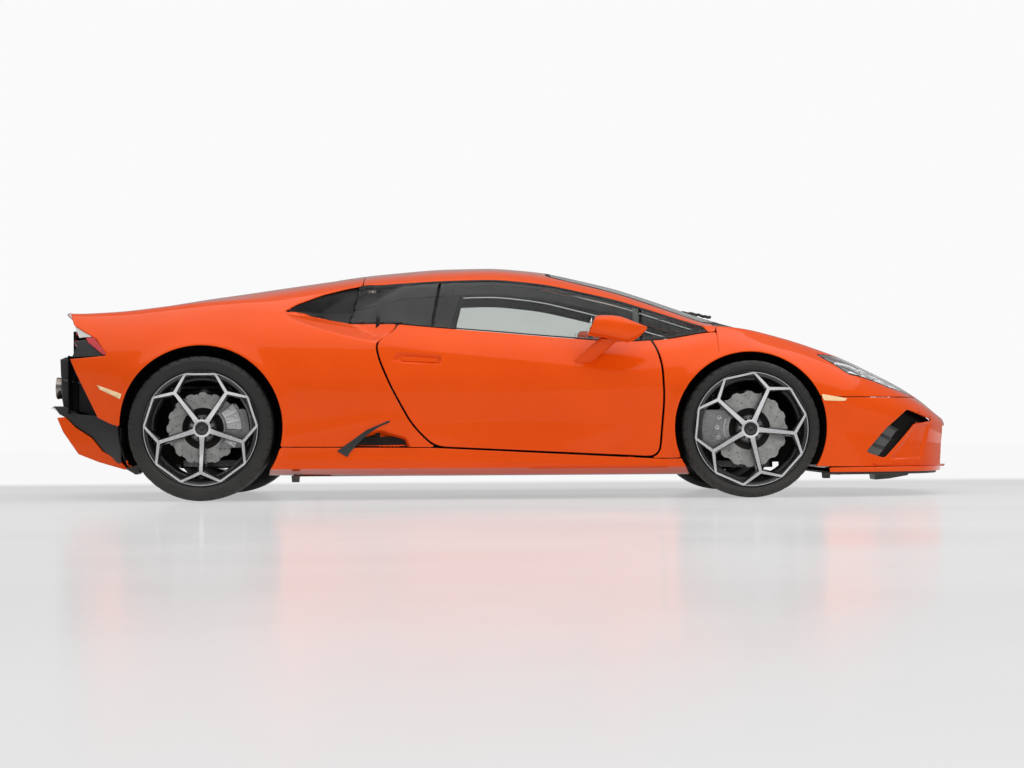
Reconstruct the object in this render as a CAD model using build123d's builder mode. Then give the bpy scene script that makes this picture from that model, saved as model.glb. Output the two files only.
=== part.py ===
from build123d import *
import math
import os

# A mid-engined two-seat coupe, in millimetres. +X is forward, +Y is left, +Z is up.
# The origin is on the ground, midway along and across the car.

# ---- Driving dimensions ----
WHEELBASE = 2620
FRONT_OVERHANG = 1050
REAR_OVERHANG = 850
WIDTH = 1933
TRACK_FRONT = 1668
TRACK_REAR = 1620
LENGTH = FRONT_OVERHANG + WHEELBASE + REAR_OVERHANG
HALF = WIDTH / 2
X_NOSE = LENGTH / 2
X_TAIL = -LENGTH / 2
XF = X_NOSE - FRONT_OVERHANG  # front axle
XR = X_TAIL + REAR_OVERHANG  # rear axle

PANEL = 26  # thickness of a fixed or hinged outer panel
DOOR_SKIN = 34  # thickness of a door out to its full outline
DOOR_DEPTH = 96  # thickness of a whole door
GLASS = 6
SEAM = 0.6  # between fixed panels that are bolted edge to edge
SHUT = 9  # round a panel that moves
PIN_PLAY = 0.1  # round a hinge pin, a kingpin or a spindle
FACE_GAP = 0.3  # between pieces that rest on each other

TYRE_RADIUS_FRONT = 327.5
TYRE_WIDTH_FRONT = 245
TYRE_RADIUS_REAR = 345.5
TYRE_WIDTH_REAR = 305
RIM_RADIUS = 272  # over the flanges
BEAD_RADIUS = 254
BARREL = 9
ARCH_FRONT = 368  # wheel opening in the panels
ARCH_REAR = 394
LINER_FRONT = 392
LINER_REAR = 402
LINER_WALL = 5
SPOKES = 5
SPOKE_WIDTH = 26
BRANCH_WIDTH = 15
SPOKE_DEPTH = 32
BRANCH_NODE = 210  # radius at which a spoke forks
BRANCH_SPREAD = 21  # degrees from the spoke to a branch's end
HUB_RADIUS = 78  # of the brake disc's hat
WHEEL_HUB_RADIUS = 64
SPINDLE_RADIUS = 30
DISC_RADIUS_FRONT = 182
DISC_RADIUS_REAR = 174
DISC_WIDTH = 34
KINGPIN_INSET = 52  # steering axis inboard of the wheel's centre
STEER_ROOM_FRONT = 378  # radius about the kingpin that a turned front wheel needs, inboard of the outer skin
STEER_ROOM_Y = HALF - 64

ARCH_LIFT = 8  # centre of a wheel opening above the wheel's centre
RAIL_DEPTH = 24  # roof rail above the side windows
DOOR_LIP = 20  # the door's skin reaches past its inner panel by this much
HINGE_X = XF - 500
HINGE_Y = HALF - 60
HINGE_PIN = 6
HINGE_ARM = 16
HINGE_HEIGHTS = (330, 600)
MIRROR_X = XF - 750
MIRROR_Y = HALF + 40
MIRROR_Z = 828
ARM_HEIGHT = 170  # suspension arms above and below the wheel's centre
ARM_THICK = 30
EYE_RADIUS = 26
KINGPIN_RADIUS = 13
SHAFT_RADIUS = 15
SPINDLE_REACH = 66  # spindle past the wheel's centre
DISC_INNER = 10  # inner face of the brake disc inboard of the wheel's centre
DISC_GAP = 5
HUB_FACE = 36  # the wheel's mounting face outboard of its centre
SPOKE_FACE = 92  # outer face of the spokes
SEAT_Y = 370
GEARBOX_HALF = 200
WHEEL_TILT = 22  # steering column
SILL_TOP = 300
BULKHEAD = 22
TAIL_X = XR - 640  # rear face of the tail panel
PILLAR_Y = 764  # outer face of the hinge pillars, clear of the opening door
SHELF_Z = 680
SHELF_THICK = 24
BUFFER = 3  # rubber under the bonnet and the engine cover
WELL_X0, WELL_X1 = XF - 10, XF + 540  # luggage well
WELL_Y = 420
WELL_Z = 260
WELL_WALL = 8
RAIL_IN_FRONT, RAIL_OUT_FRONT = 412, 505
RAIL_IN_REAR, RAIL_OUT_REAR = 400, 490
LINER_FOOT = 150
LINER_Y_FRONT = 545
LINER_Y_REAR = 640
SKIRT_TOP = [(XF + 200, 190), (XF - 431, 190), (XR + 1110, 248), (XR + 200, 256)]
COWL_HALF = 620
LID_HINGE_Y = (-60, 60)
LID_PIN = 5
EAR_RADIUS = 9
EAR_WIDTH = 14
BONNET_HINGE_X = XF + 10
BONNET_HINGE_Z = 819
COVER_HINGE_X = XR + 640
COVER_HINGE_Z = 1082
LID_HINGE_GAP = 15  # along a lid's hinged edge
BONNET_SWEEP = 75  # radius about its hinge that the bonnet's rear edge sweeps
DOOR_SWEEP = 6  # extra room for the door's front edge as it swings
LAMP_DEPTH = 60
SPLITTER_Z = 116
SPLITTER_THICK = 24
FASCIA_THICK = 20
FASCIA_LOW = 420
DIFFUSER_HALF = 560
SPOILER_HALF = 640
SPOILER_X = XR - 575
EXHAUST_Y = 275
EXHAUST_Z = 540
EXHAUST_RADIUS = 55
FLOOR_HALF = 800
FLOOR_Z = 112  # underside of the floor
FLOOR_THICK = 26

# ---- The outer surface: sections along the car ----
# x, then y and z of each line on the left: floor edge, skirt, waist, belt, rail; last, z of the top on the centreline.
# Each y is given as how far it lies inside the half width.
SECTIONS = [
    (XR - 780, 366, 330, 256, 400, 166, 640, 236, 880, 400, 922, 938),
    (XR - 640, 316, 230, 176, 290, 86, 640, 190, 868, 396, 896, 906),
    (XR - 390, 266, 130, 66, 180, 21, 645, 166, 875, 391, 917, 932),
    (XR, 266, 120, 26, 150, 0, 640, 166, 908, 406, 975, 1003),
    (XR + 380, 166, 118, 26, 150, 16, 610, 186, 905, 376, 1010, 1062),
    (XR + 770, 146, 114, 31, 150, 28, 600, 166, 862, 401, 1053, 1121),
    (XR + 1110, 141, 112, 36, 150, 34, 600, 154, 828, 426, 1076, 1152),
    (XF - 1210, 141, 112, 38, 150, 38, 600, 148, 803, 436, 1084, 1157),
    (XF - 960, 141, 112, 41, 150, 41, 598, 148, 780, 411, 1056, 1133),
    (XF - 610, 141, 112, 44, 150, 41, 590, 156, 752, 341, 972, 1049),
    (XF - 380, 146, 112, 41, 150, 31, 590, 166, 766, 301, 895, 971),
    (XF - 170, 166, 112, 31, 150, 16, 600, 181, 806, 254, 824, 893),
    (XF, 186, 112, 21, 150, 9, 610, 171, 790, 326, 812, 838),
    (XF + 240, 206, 112, 31, 150, 24, 570, 181, 728, 366, 748, 768),
    (XF + 490, 226, 112, 71, 145, 71, 500, 221, 640, 446, 668, 682),
    (XF + 740, 326, 114, 166, 140, 176, 420, 326, 520, 536, 560, 580),
    (XF + 910, 446, 116, 306, 138, 316, 370, 466, 440, 636, 470, 485),
    (XF + 1020, 666, 118, 546, 136, 566, 340, 666, 375, 766, 385, 390),
]

# Shut lines and seams in the side view, as (x, z).
DOOR_FRONT = [(XF - 440, 199), (XF - 416, 480), (XF - 425, 650), (XF - 458, 752)]
DOOR_REAR = [(XR + 955, 825), (XR + 837, 748), (XR + 856, 663), (XR + 912, 531), (XR + 1006, 361), (XR + 1110, 257)]
TAIL_EDGE = [
    (XR - 650, 905), (XR - 622, 844), (XR - 506, 776), (XR - 450, 698), (XR - 633, 683), (XR - 561, 527),
    (XR - 500, 399), (XR - 428, 365),
]
ROOF_REAR = XR + 760  # roof panel to rear quarter
ROOF_HEADER = XF - 960  # roof panel to windscreen
GLASS_SPLIT_REAR = [(XR + 1078, 800), (XR + 1160, 1100)]  # door glass to quarter glass
GLASS_SPLIT_FRONT = XF - 512  # door glass to front quarter light
COWL_X = XF - 150  # windscreen's foot at the sides
BONNET_REAR = XF - 20
BONNET_FRONT = XF + 860
BONNET_HALF = [(BONNET_REAR, 600), (XF + 290, 545), (XF + 590, 450), (BONNET_FRONT, 320)]
ENGINE_COVER_HALF = [(XR + 690, 420), (XR + 200, 430), (XR - 300, 400)]
BUMPER_SEAM_Z = 478
LAMP_HALF = [(XF + 330, 790), (XF + 560, 600), (XF + 800, 455), (XF + 850, 520), (XF + 700, 700), (XF + 480, 830)]

os.makedirs("parts", exist_ok=True)


def save(part, name):
    """Labels a finished piece and writes it as its own STEP file."""
    part.label = name
    export_step(part, f"parts/{name}.step")


def inset_polygon(points, amount):
    """The closed polygon moved inwards by amount, with as many corners."""
    moved = []
    count = len(points)
    area = sum(points[i - 1][0] * points[i][1] - points[i][0] * points[i - 1][1] for i in range(count))
    amount = math.copysign(1, area) * amount
    for i in range(count):
        (x0, y0), (x1, y1), (x2, y2) = points[i - 1], points[i], points[(i + 1) % count]
        ax, ay = x1 - x0, y1 - y0
        bx, by = x2 - x1, y2 - y1
        la, lb = math.hypot(ax, ay), math.hypot(bx, by)
        nax, nay = -ay / la, ax / la
        nbx, nby = -by / lb, bx / lb
        scale = amount / (1 + nax * nbx + nay * nby)
        moved.append((x1 + (nax + nbx) * scale, y1 + (nay + nby) * scale))
    return moved


def section_points(row, inset):
    """The whole section of one row, anticlockwise seen from the front, moved inwards by inset."""
    x, *pairs, top = row
    left = [(HALF - pairs[i], pairs[i + 1]) for i in range(0, len(pairs), 2)]
    right = [(-y, z) for y, z in reversed(left)]
    return inset_polygon(left + [(0, top)] + right, inset)


def envelope(inset=0):
    """The closed outer form of the car, or the same form moved inwards."""
    with BuildPart() as body:
        for row in SECTIONS:
            with BuildSketch(Plane.YZ.offset(row[0])):
                with BuildLine():
                    Polyline(*section_points(row, inset), close=True)
                make_face()
        loft(ruled=True)
    return body.part


def side_prism(points, y0=-1200, y1=1200):
    """A side-view outline, given as (x, z), carried across the car from y0 to y1."""
    with BuildPart() as prism:
        with BuildSketch(Plane.XZ.offset(-y1)):
            with BuildLine():
                Polyline(*points, close=True)
            make_face()
        extrude(amount=y1 - y0)
    return prism.part


def plan_prism(points, z0=0, z1=1400):
    """A plan-view outline, given as (x, y), carried up from z0 to z1."""
    with BuildPart() as prism:
        with BuildSketch(Plane.XY.offset(z0)):
            with BuildLine():
                Polyline(*points, close=True)
            make_face()
        extrude(amount=z1 - z0)
    return prism.part


def front_prism(points, x0, x1):
    """A front-view outline, given as (y, z), carried forward from x0 to x1."""
    with BuildPart() as prism:
        with BuildSketch(Plane.YZ.offset(x0)):
            with BuildLine():
                Polyline(*points, close=True)
            make_face()
        extrude(amount=x1 - x0)
    return prism.part


def both(half):
    """A plan outline from its left half."""
    return half + [(x, -y) for x, y in reversed(half)]


def arch_cylinder(x, z, radius, y0=-1200, y1=1200):
    with BuildPart() as arch:
        with BuildSketch(Plane.XZ.offset(-y1)):
            with Locations((x, z)):
                Circle(radius)
        extrude(amount=y1 - y0)
    return arch.part


def box(x0, x1, y0, y1, z0, z1):
    """A plain block between two corners."""
    with BuildPart() as block:
        with BuildSketch(Plane.XY.offset(z0)):
            with Locations(((x0 + x1) / 2, (y0 + y1) / 2)):
                Rectangle(abs(x1 - x0), abs(y1 - y0))
        extrude(amount=z1 - z0)
    return block.part



LINES = {"floor": 1, "skirt": 3, "waist": 5, "belt": 7, "rail": 9}


def line_at(name, x):
    """(y, z) of one of the lines of the outer surface at x, on the left."""
    column = LINES[name]
    for a, b in zip(SECTIONS, SECTIONS[1:]):
        if a[0] <= x <= b[0]:
            t = (x - a[0]) / (b[0] - a[0])
            return (HALF - a[column] - t * (b[column] - a[column]), a[column + 1] + t * (b[column + 1] - a[column + 1]))
    raise ValueError(f"x {x} is past the sections")


def top_at(x):
    """Height of the outer surface on the centreline at x."""
    for a, b in zip(SECTIONS, SECTIONS[1:]):
        if a[0] <= x <= b[0]:
            return a[-1] + (x - a[0]) / (b[0] - a[0]) * (b[-1] - a[-1])
    raise ValueError(f"x {x} is past the sections")


def trace(name, x0, x1, lift=0):
    """The side view of a line from x0 to x1 as (x, z), raised by lift."""
    low, high = min(x0, x1), max(x0, x1)
    stops = [low] + [row[0] for row in SECTIONS if low < row[0] < high] + [high]
    points = [(x, line_at(name, x)[1] + lift) for x in stops]
    return points if x0 < x1 else points[::-1]


def cylinder_y(x, z, radius, y0, y1):
    """A round bar across the car."""
    with BuildPart() as bar:
        with BuildSketch(Plane.XZ.offset(-y1)):
            with Locations((x, z)):
                Circle(radius)
        extrude(amount=y1 - y0)
    return bar.part


def cylinder_z(x, y, radius, z0, z1):
    """An upright round bar."""
    with BuildPart() as bar:
        with BuildSketch(Plane.XY.offset(z0)):
            with Locations((x, y)):
                Circle(radius)
        extrude(amount=z1 - z0)
    return bar.part


def joined(*shapes):
    """One part from shapes that meet or overlap."""
    with BuildPart() as whole:
        for shape in shapes:
            add(shape)
    return whole.part


def both_sides(left):
    """A left piece and its mirror image, as two solids of one node."""
    with BuildPart() as pair:
        add(left)
        mirror(about=Plane.XZ)
    return pair.part


def right_of(left):
    """The right-hand twin of a left piece."""
    with BuildPart() as twin:
        mirror(left, about=Plane.XZ)
    return twin.part


def skin(regions, inner, cuts=()):
    """The stretch of the outer form that lies in every region, down to the inner form, less the cuts."""
    with BuildPart() as piece:
        add(OUTER)
        for region in regions:
            add(region, mode=Mode.INTERSECT)
        add(inner, mode=Mode.SUBTRACT)
        for cut in cuts:
            add(cut, mode=Mode.SUBTRACT)
    return piece.part


OUTER = envelope()
INNER = envelope(PANEL)
FRAME_OUTER = envelope(PANEL + SEAM)  # what carries the panels reaches this far out
DOOR_STEP = envelope(DOOR_SKIN)
DOOR_INNER = envelope(DOOR_DEPTH)
GLASS_INNER = envelope(GLASS)
XLOW, XHIGH = X_TAIL - 50, X_NOSE + 50


def make_steer_room():
    """The space inside the outer skin that both turned front wheels need."""
    kingpin_y = TRACK_FRONT / 2 - KINGPIN_INSET
    with BuildPart() as room:
        add(joined(*[cylinder_z(XF, side * kingpin_y, STEER_ROOM_FRONT, 0, 480) for side in (1, -1)]))
        add(box(XF - 400, XF + 400, -STEER_ROOM_Y, STEER_ROOM_Y, 0, 480), mode=Mode.INTERSECT)
    return room.part


STEER_ROOM = make_steer_room()
FRONT_ARCH = cylinder_y(XF, TYRE_RADIUS_FRONT + ARCH_LIFT, ARCH_FRONT, -1200, 1200)
REAR_ARCH = cylinder_y(XR, TYRE_RADIUS_REAR + ARCH_LIFT, ARCH_REAR, -1200, 1200)

# ---- Outlines of the panels ----
DOOR_TOP_DROP = 2  # the door's top edge lies this far under the belt line
door_top = trace("belt", DOOR_FRONT[-1][0], DOOR_REAR[0][0], -DOOR_TOP_DROP)
DOOR_OUTLINE = DOOR_FRONT[:-1] + door_top + DOOR_REAR[1:]
DOOR_HOLE = side_prism(inset_polygon(DOOR_OUTLINE, -SHUT), 300)
window_low = trace("belt", XF - 185, XR + 640, -DOOR_TOP_DROP + FACE_GAP)
window_high = trace("rail", XR + 700, XF - 205, -RAIL_DEPTH)
WINDOW_OUTLINE = window_low + window_high
WINDOW_HOLE = side_prism(WINDOW_OUTLINE, 300)
INTAKE_HOLE = side_prism(
    [(XR + 640 - SEAM, window_low[-1][1]), (XR + 381, 905), (XR + 700 - SEAM, window_high[0][1])], 300)
WINDSCREEN_HALF = [(ROOF_HEADER, 455), (XF - 610, 555), (XF - 380, 600), (XF - 190, 645), (XF - 120, 500), (XF - 75, 120)]
BONNET_OUTLINE = both(BONNET_HALF)
hole_half = [(BONNET_REAR - LID_HINGE_GAP + SHUT, BONNET_HALF[0][1])] + BONNET_HALF[1:]
BONNET_HOLE = plan_prism(inset_polygon(both(hole_half), -SHUT), 300)
ENGINE_COVER_OUTLINE = both(ENGINE_COVER_HALF)
hole_half = [(ENGINE_COVER_HALF[0][0] + LID_HINGE_GAP - SHUT, ENGINE_COVER_HALF[0][1])] + ENGINE_COVER_HALF[1:]
ENGINE_COVER_HOLE = plan_prism(inset_polygon(both(hole_half), -SHUT), 500)
LAMP_HOLE = plan_prism(inset_polygon(LAMP_HALF, -SEAM), 380)


def make_door():
    """Left door: a full-size skin with a smaller inner panel behind it, notched for its two hinge arms."""
    inner_outline = inset_polygon(DOOR_OUTLINE, DOOR_LIP)
    notch_half = HINGE_ARM / 2 + SHUT
    with BuildPart() as door:
        add(skin([side_prism(DOOR_OUTLINE, 300)], DOOR_STEP))
        add(skin([side_prism(inner_outline, 300)], DOOR_INNER))
        for z in HINGE_HEIGHTS:
            reach = box(HINGE_X - notch_half, HINGE_X + 120, 600, HINGE_Y + 12, z - notch_half, z + notch_half)
            add(reach, mode=Mode.SUBTRACT)
            bore_half = notch_half + HINGE_ARM
            add(cylinder_z(HINGE_X, HINGE_Y, HINGE_PIN + PIN_PLAY, z - bore_half, z + bore_half), mode=Mode.SUBTRACT)
    return door.part


def make_door_room():
    """The space a left door needs in the frame, with the swing of its front edge about the hinge."""
    room = skin([side_prism(inset_polygon(DOOR_OUTLINE, -SHUT), 300)], envelope(DOOR_DEPTH + SHUT))
    inner_reach = HINGE_Y - (HALF - 41 - DOOR_DEPTH)
    front_reach = DOOR_FRONT[1][0] - DOOR_LIP - HINGE_X
    swing = math.hypot(inner_reach, front_reach) + SHUT + DOOR_SWEEP
    low, high = DOOR_FRONT[0][1] - SHUT, DOOR_FRONT[-1][1] + SHUT
    return joined(room, cylinder_z(HINGE_X, HINGE_Y, swing, low, high))


def make_mirror():
    """Left door mirror: a pointed housing on a blade stalk that stands on the door."""
    with BuildPart() as housing:
        with BuildSketch(Plane.YZ.offset(MIRROR_X)):
            with Locations((MIRROR_Y, MIRROR_Z)):
                Rectangle(205, 102)
        with BuildSketch(Plane.YZ.offset(MIRROR_X + 150)):
            with Locations((MIRROR_Y - 4, MIRROR_Z - 4)):
                Rectangle(150, 66)
        with BuildSketch(Plane.YZ.offset(MIRROR_X + 258)):
            with Locations((MIRROR_Y - 30, MIRROR_Z - 8)):
                Rectangle(60, 14)
        loft(ruled=True)
    belt_y, belt_z = line_at("belt", MIRROR_X)
    with BuildPart() as stalk:
        with BuildSketch(Plane.XZ.offset(-(MIRROR_Y - 60))):
            with BuildLine():
                Polyline(
                    (MIRROR_X + 15, MIRROR_Z - 30), (MIRROR_X + 140, MIRROR_Z - 30), (MIRROR_X + 30, belt_z - 95),
                    (MIRROR_X - 75, belt_z - 95), close=True)
            make_face()
        extrude(amount=MIRROR_Y - 60 - belt_y)
        add(envelope(-FACE_GAP), mode=Mode.SUBTRACT)
    return joined(housing.part, stalk.part)


# ---- Doors, glass and mirrors ----
door_left = make_door()
save(door_left, "door_left")
save(right_of(door_left), "door_right")

rear_split = GLASS_SPLIT_REAR
glass_top = trace("rail", rear_split[1][0] + 4, GLASS_SPLIT_FRONT, -RAIL_DEPTH - SHUT)
glass_foot = trace("belt", GLASS_SPLIT_FRONT, rear_split[0][0] + 4, -DOOR_TOP_DROP + FACE_GAP)
DOOR_GLASS_OUTLINE = glass_top + glass_foot
door_glass = skin([side_prism(DOOR_GLASS_OUTLINE, 300)], GLASS_INNER)
save(door_glass, "door_glass_left")
save(right_of(door_glass), "door_glass_right")

mirror_left = make_mirror()
save(mirror_left, "mirror_left")
save(right_of(mirror_left), "mirror_right")

glass_gap = side_prism(inset_polygon(DOOR_GLASS_OUTLINE, -SHUT), 300)
fixed_glass = skin([side_prism(inset_polygon(WINDOW_OUTLINE, FACE_GAP), 300)], GLASS_INNER, [glass_gap, DOOR_HOLE])
save(both_sides(fixed_glass), "quarter_glass")

# ---- Fixed outer panels ----
WINDSCREEN_OUTLINE = both(WINDSCREEN_HALF)
windscreen = skin([plan_prism(WINDSCREEN_OUTLINE, 600)], GLASS_INNER)
save(windscreen, "windscreen")
WINDSCREEN_HOLE = plan_prism(inset_polygon(WINDSCREEN_OUTLINE, -FACE_GAP), 600)


def make_roof_frame():
    """Roof, header and windscreen pillars in one frame, from the rear quarters to the cowl."""
    edge = trace("rail", ROOF_REAR, XF - 205, -RAIL_DEPTH)
    foot = trace("belt", XF - 185 + FACE_GAP, COWL_X, -DOOR_TOP_DROP + SEAM)
    return skin([side_prism(edge + foot + [(COWL_X, 1400), (ROOF_REAR, 1400)])], INNER, [WINDSCREEN_HOLE, ENGINE_COVER_HOLE])


def make_front_wing():
    """Left front wing, from the door to the nose over the wheel."""
    low = SKIRT_TOP[0][1] + SEAM
    waist = [(XF - 470, 400)] + trace("belt", XF - 470, COWL_X, -DOOR_TOP_DROP)
    nose = BONNET_FRONT + SHUT - 1
    split = BUMPER_SEAM_Z + SEAM
    outline = [(SKIRT_TOP[1][0], low)] + waist + [(COWL_X + SEAM, 1400), (nose, 1400), (nose, split)]
    outline += [(XF + 200, split), (XF + 200, low)]
    cowl_hole = box(COWL_X - 50, BONNET_REAR + 1, -COWL_HALF - SEAM, COWL_HALF + SEAM, 500, 1400)
    cuts = [DOOR_HOLE, BONNET_HOLE, FRONT_ARCH, LAMP_HOLE, WINDSCREEN_HOLE, cowl_hole]
    return skin([side_prism(outline, 250)], INNER, cuts)


def make_cowl():
    """The strip between bonnet and windscreen."""
    strip = box(COWL_X + SEAM, BONNET_REAR, -COWL_HALF, COWL_HALF, 500, 1400)
    return skin([strip], INNER, [WINDSCREEN_HOLE, BONNET_HOLE])


def make_rear_quarter():
    """Left rear quarter: from the door over the wheel to the tail, with the pillar beside the engine cover."""
    (x0, z0), (x1, z1) = SKIRT_TOP[3], SKIRT_TOP[2]
    low = z0 + SEAM
    door_side = z0 + (z1 - z0) * (XR + 975 - x0) / (x1 - x0) + SEAM
    belt = trace("belt", XR + 975, XR + 640, -DOOR_TOP_DROP)
    rail = trace("rail", XR + 700, ROOF_REAR - SEAM, -RAIL_DEPTH)
    outline = [(XR + 975, door_side)] + belt + rail + [(ROOF_REAR - SEAM, 1400), (TAIL_EDGE[0][0], 1400)] + TAIL_EDGE
    outline += [(XR - 428, 0), (XR + 200, 0), (XR + 200, low)]
    cuts = [DOOR_HOLE, ENGINE_COVER_HOLE, REAR_ARCH, INTAKE_HOLE, side_prism(SIDE_INTAKE, 700)]
    cuts.append(box(XLOW, SPOILER_X + SEAM, 0, SPOILER_HALF + SEAM, 780, 1400))
    return skin([side_prism(outline, SEAM / 2)], INNER, cuts + [box(XR - 1000, XR - 200, 0, 600, 0, 560)])


SIDE_INTAKE = [(XR + 730, 330), (XR + 560, 300), (XR + 440, 500), (XR + 500, 530)]

roof_frame = make_roof_frame()
save(roof_frame, "roof_frame")
front_wing = make_front_wing()
save(both_sides(front_wing), "front_wings")
cowl = make_cowl()
save(cowl, "cowl")
rear_quarter = make_rear_quarter()
save(both_sides(rear_quarter), "rear_quarters")

skirt_outline = SKIRT_TOP + [(XR + 200, 0), (XF + 200, 0)]
side_skirt = skin([side_prism(skirt_outline, FLOOR_HALF + SEAM)], INNER, [FRONT_ARCH, STEER_ROOM, REAR_ARCH, DOOR_HOLE])
save(both_sides(side_skirt), "side_skirts")

# ---- Bonnet and engine cover ----
def make_lid(outline, hinge_x, hinge_z, toward):
    """A lid cut from the outer form, with two pockets for hinge ears; toward is the way from the hinge to its near edge."""
    with BuildPart() as lid:
        add(skin([plan_prism(outline, 300)], INNER))
        for y in LID_HINGE_Y:
            near, far = sorted((hinge_x + toward * 60, hinge_x - toward * (EAR_RADIUS + 5)))
            pocket = box(near, far, y - EAR_WIDTH / 2 - 5, y + EAR_WIDTH / 2 + 5, hinge_z - 120, hinge_z + EAR_RADIUS + 2)
            add(pocket, mode=Mode.SUBTRACT)
            bore = cylinder_y(hinge_x, hinge_z, LID_PIN + PIN_PLAY, y - EAR_WIDTH - 10, y + EAR_WIDTH + 10)
            add(bore, mode=Mode.SUBTRACT)
    return lid.part


def make_lid_ears(hinge_x, hinge_z, foot_z):
    """The frame's two hinge ears for a lid, each with its pin."""
    with BuildPart() as ears:
        for y in LID_HINGE_Y:
            add(box(hinge_x - EAR_RADIUS, hinge_x + EAR_RADIUS, y - EAR_WIDTH / 2, y + EAR_WIDTH / 2, foot_z, hinge_z))
            add(cylinder_y(hinge_x, hinge_z, EAR_RADIUS, y - EAR_WIDTH / 2, y + EAR_WIDTH / 2))
            add(cylinder_y(hinge_x, hinge_z, LID_PIN, y - EAR_WIDTH, y + EAR_WIDTH))
    return ears.part


bonnet = make_lid(BONNET_OUTLINE, BONNET_HINGE_X, BONNET_HINGE_Z, -1)
save(bonnet, "bonnet")
engine_cover = make_lid(ENGINE_COVER_OUTLINE, COVER_HINGE_X, COVER_HINGE_Z, 1)
save(engine_cover, "engine_cover")

# ---- Nose ----
def make_bumper():
    """Front bumper: the nose below the wings and bonnet, with two side intakes and a lower mouth."""
    seam = BUMPER_SEAM_Z
    nose = BONNET_FRONT + SHUT - 1 + SEAM
    lip = SPLITTER_Z + SPLITTER_THICK + SEAM
    outline = [(XF + 200, 0), (XF + 555, 0), (XF + 555, lip), (XHIGH, lip), (XHIGH, 1400), (nose, 1400), (nose, seam), (XF + 200, seam)]
    mouth = front_prism([(-330, 150), (330, 150), (300, 250), (-300, 250)], XF + 860, XHIGH)
    cuts = [FRONT_ARCH, STEER_ROOM, BONNET_HOLE, LAMP_HOLE, right_of(LAMP_HOLE), mouth]
    for side in (1, -1):
        cuts.append(front_prism([(side * 420, 165), (side * 740, 190), (side * 700, 380), (side * 470, 330)], XF + 600, XHIGH))
    tray = box(XF + 200, XF + 420, -640, 640, 0, 200)
    return skin([side_prism(outline)], INNER, cuts + [tray])


bumper = make_bumper()
save(bumper, "bumper_front")

headlamp = skin([plan_prism(LAMP_HALF, 380)], envelope(LAMP_DEPTH), [FRONT_ARCH, right_of(FRONT_ARCH)])
save(both_sides(headlamp), "headlamps")

with BuildPart() as grilles:
    for side in (1, -1):
        add(box(XF + 800, XF + 812, side * (429 + FACE_GAP), side * 700, 170, 360))
    add(box(XF + 800, XF + 812, -429, 429, 141, 260))
save(grilles.part, "front_grilles")

with BuildPart() as splitter:
    with BuildSketch(Plane.XY.offset(SPLITTER_Z)):
        with BuildLine():
            Polyline(*both([(XF + 560, 700), (XF + 800, 655), (XF + 985, 470), (XF + 1035, 260), (X_NOSE, 0.0 + 90)]), close=True)
        make_face()
    extrude(amount=SPLITTER_THICK)
save(splitter.part, "splitter_front")

# ---- Tail ----
with BuildPart() as fascia:
    add(FRAME_OUTER)
    add(box(TAIL_X - FASCIA_THICK, TAIL_X, -1000, 1000, FASCIA_LOW, 860), mode=Mode.INTERSECT)
save(fascia.part, "rear_fascia")

lamp_side = TAIL_EDGE[1:5] + [(TAIL_X - FASCIA_THICK - 2, 690), (TAIL_X - FASCIA_THICK - 2, 836)]
LAMP_SPACE = inset_polygon(lamp_side, SEAM)
lamp_form = envelope(3)
with BuildPart() as lamp_core:
    add(lamp_form)
    add(side_prism(LAMP_SPACE, 560), mode=Mode.INTERSECT)
    add(envelope(PANEL), mode=Mode.SUBTRACT)
with BuildPart() as lamp_rear:
    add(lamp_form)
    add(box(TAIL_X - FASCIA_THICK - 60, TAIL_X - FASCIA_THICK, 470, 1000, 700, 836), mode=Mode.INTERSECT)
save(both_sides(joined(lamp_core.part, lamp_rear.part)), "tail_lamps")

with BuildPart() as diffuser:
    with BuildSketch(Plane.XZ.offset(-DIFFUSER_HALF)):
        with BuildLine():
            Polyline(
                (XR - 430, 142), (XR - 430, 168), (TAIL_X - FASCIA_THICK + 4, FASCIA_LOW - SEAM), (XR - 790, FASCIA_LOW - 40),
                (X_TAIL, 300), (X_TAIL, 268), (XR - 640, 190), close=True)
        make_face()
    extrude(amount=2 * DIFFUSER_HALF)
save(diffuser.part, "diffuser")

spoiler = skin([box(XR - 764, SPOILER_X, -SPOILER_HALF, SPOILER_HALF, 840, 1400)], INNER)
save(spoiler, "spoiler")

with BuildPart() as exhausts:
    for side in (1, -1):
        with BuildSketch(Plane.YZ.offset(X_TAIL + 50)):
            with Locations((side * EXHAUST_Y, EXHAUST_Z)):
                Circle(EXHAUST_RADIUS)
                Circle(EXHAUST_RADIUS - 5, mode=Mode.SUBTRACT)
        extrude(amount=TAIL_X - FASCIA_THICK - X_TAIL - 50)
save(exhausts.part, "exhausts")

# ---- Frame ----
def make_liner(x, radius, wheel_radius, inner_y, window):
    """Left wheel house: a round shell with an inner wall, open below and where the suspension passes."""
    z = wheel_radius + ARCH_LIFT
    with BuildPart() as liner:
        add(cylinder_y(x, z, radius, inner_y - LINER_WALL, HALF))
        add(cylinder_y(x, z, radius - LINER_WALL, inner_y, HALF), mode=Mode.SUBTRACT)
        add(FRAME_OUTER, mode=Mode.INTERSECT)
        add(box(x - radius, x + radius, 0, HALF, 0, LINER_FOOT), mode=Mode.SUBTRACT)
        add(box(x - window, x + window, 0, inner_y + 1, 0, wheel_radius + 220), mode=Mode.SUBTRACT)
    return liner.part


liner_front = make_liner(XF, LINER_FRONT, TYRE_RADIUS_FRONT, LINER_Y_FRONT, 175)
liner_rear = make_liner(XR, LINER_REAR, TYRE_RADIUS_REAR, LINER_Y_REAR, 175)
save(both_sides(joined(liner_front, liner_rear)), "arch_liners")



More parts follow.
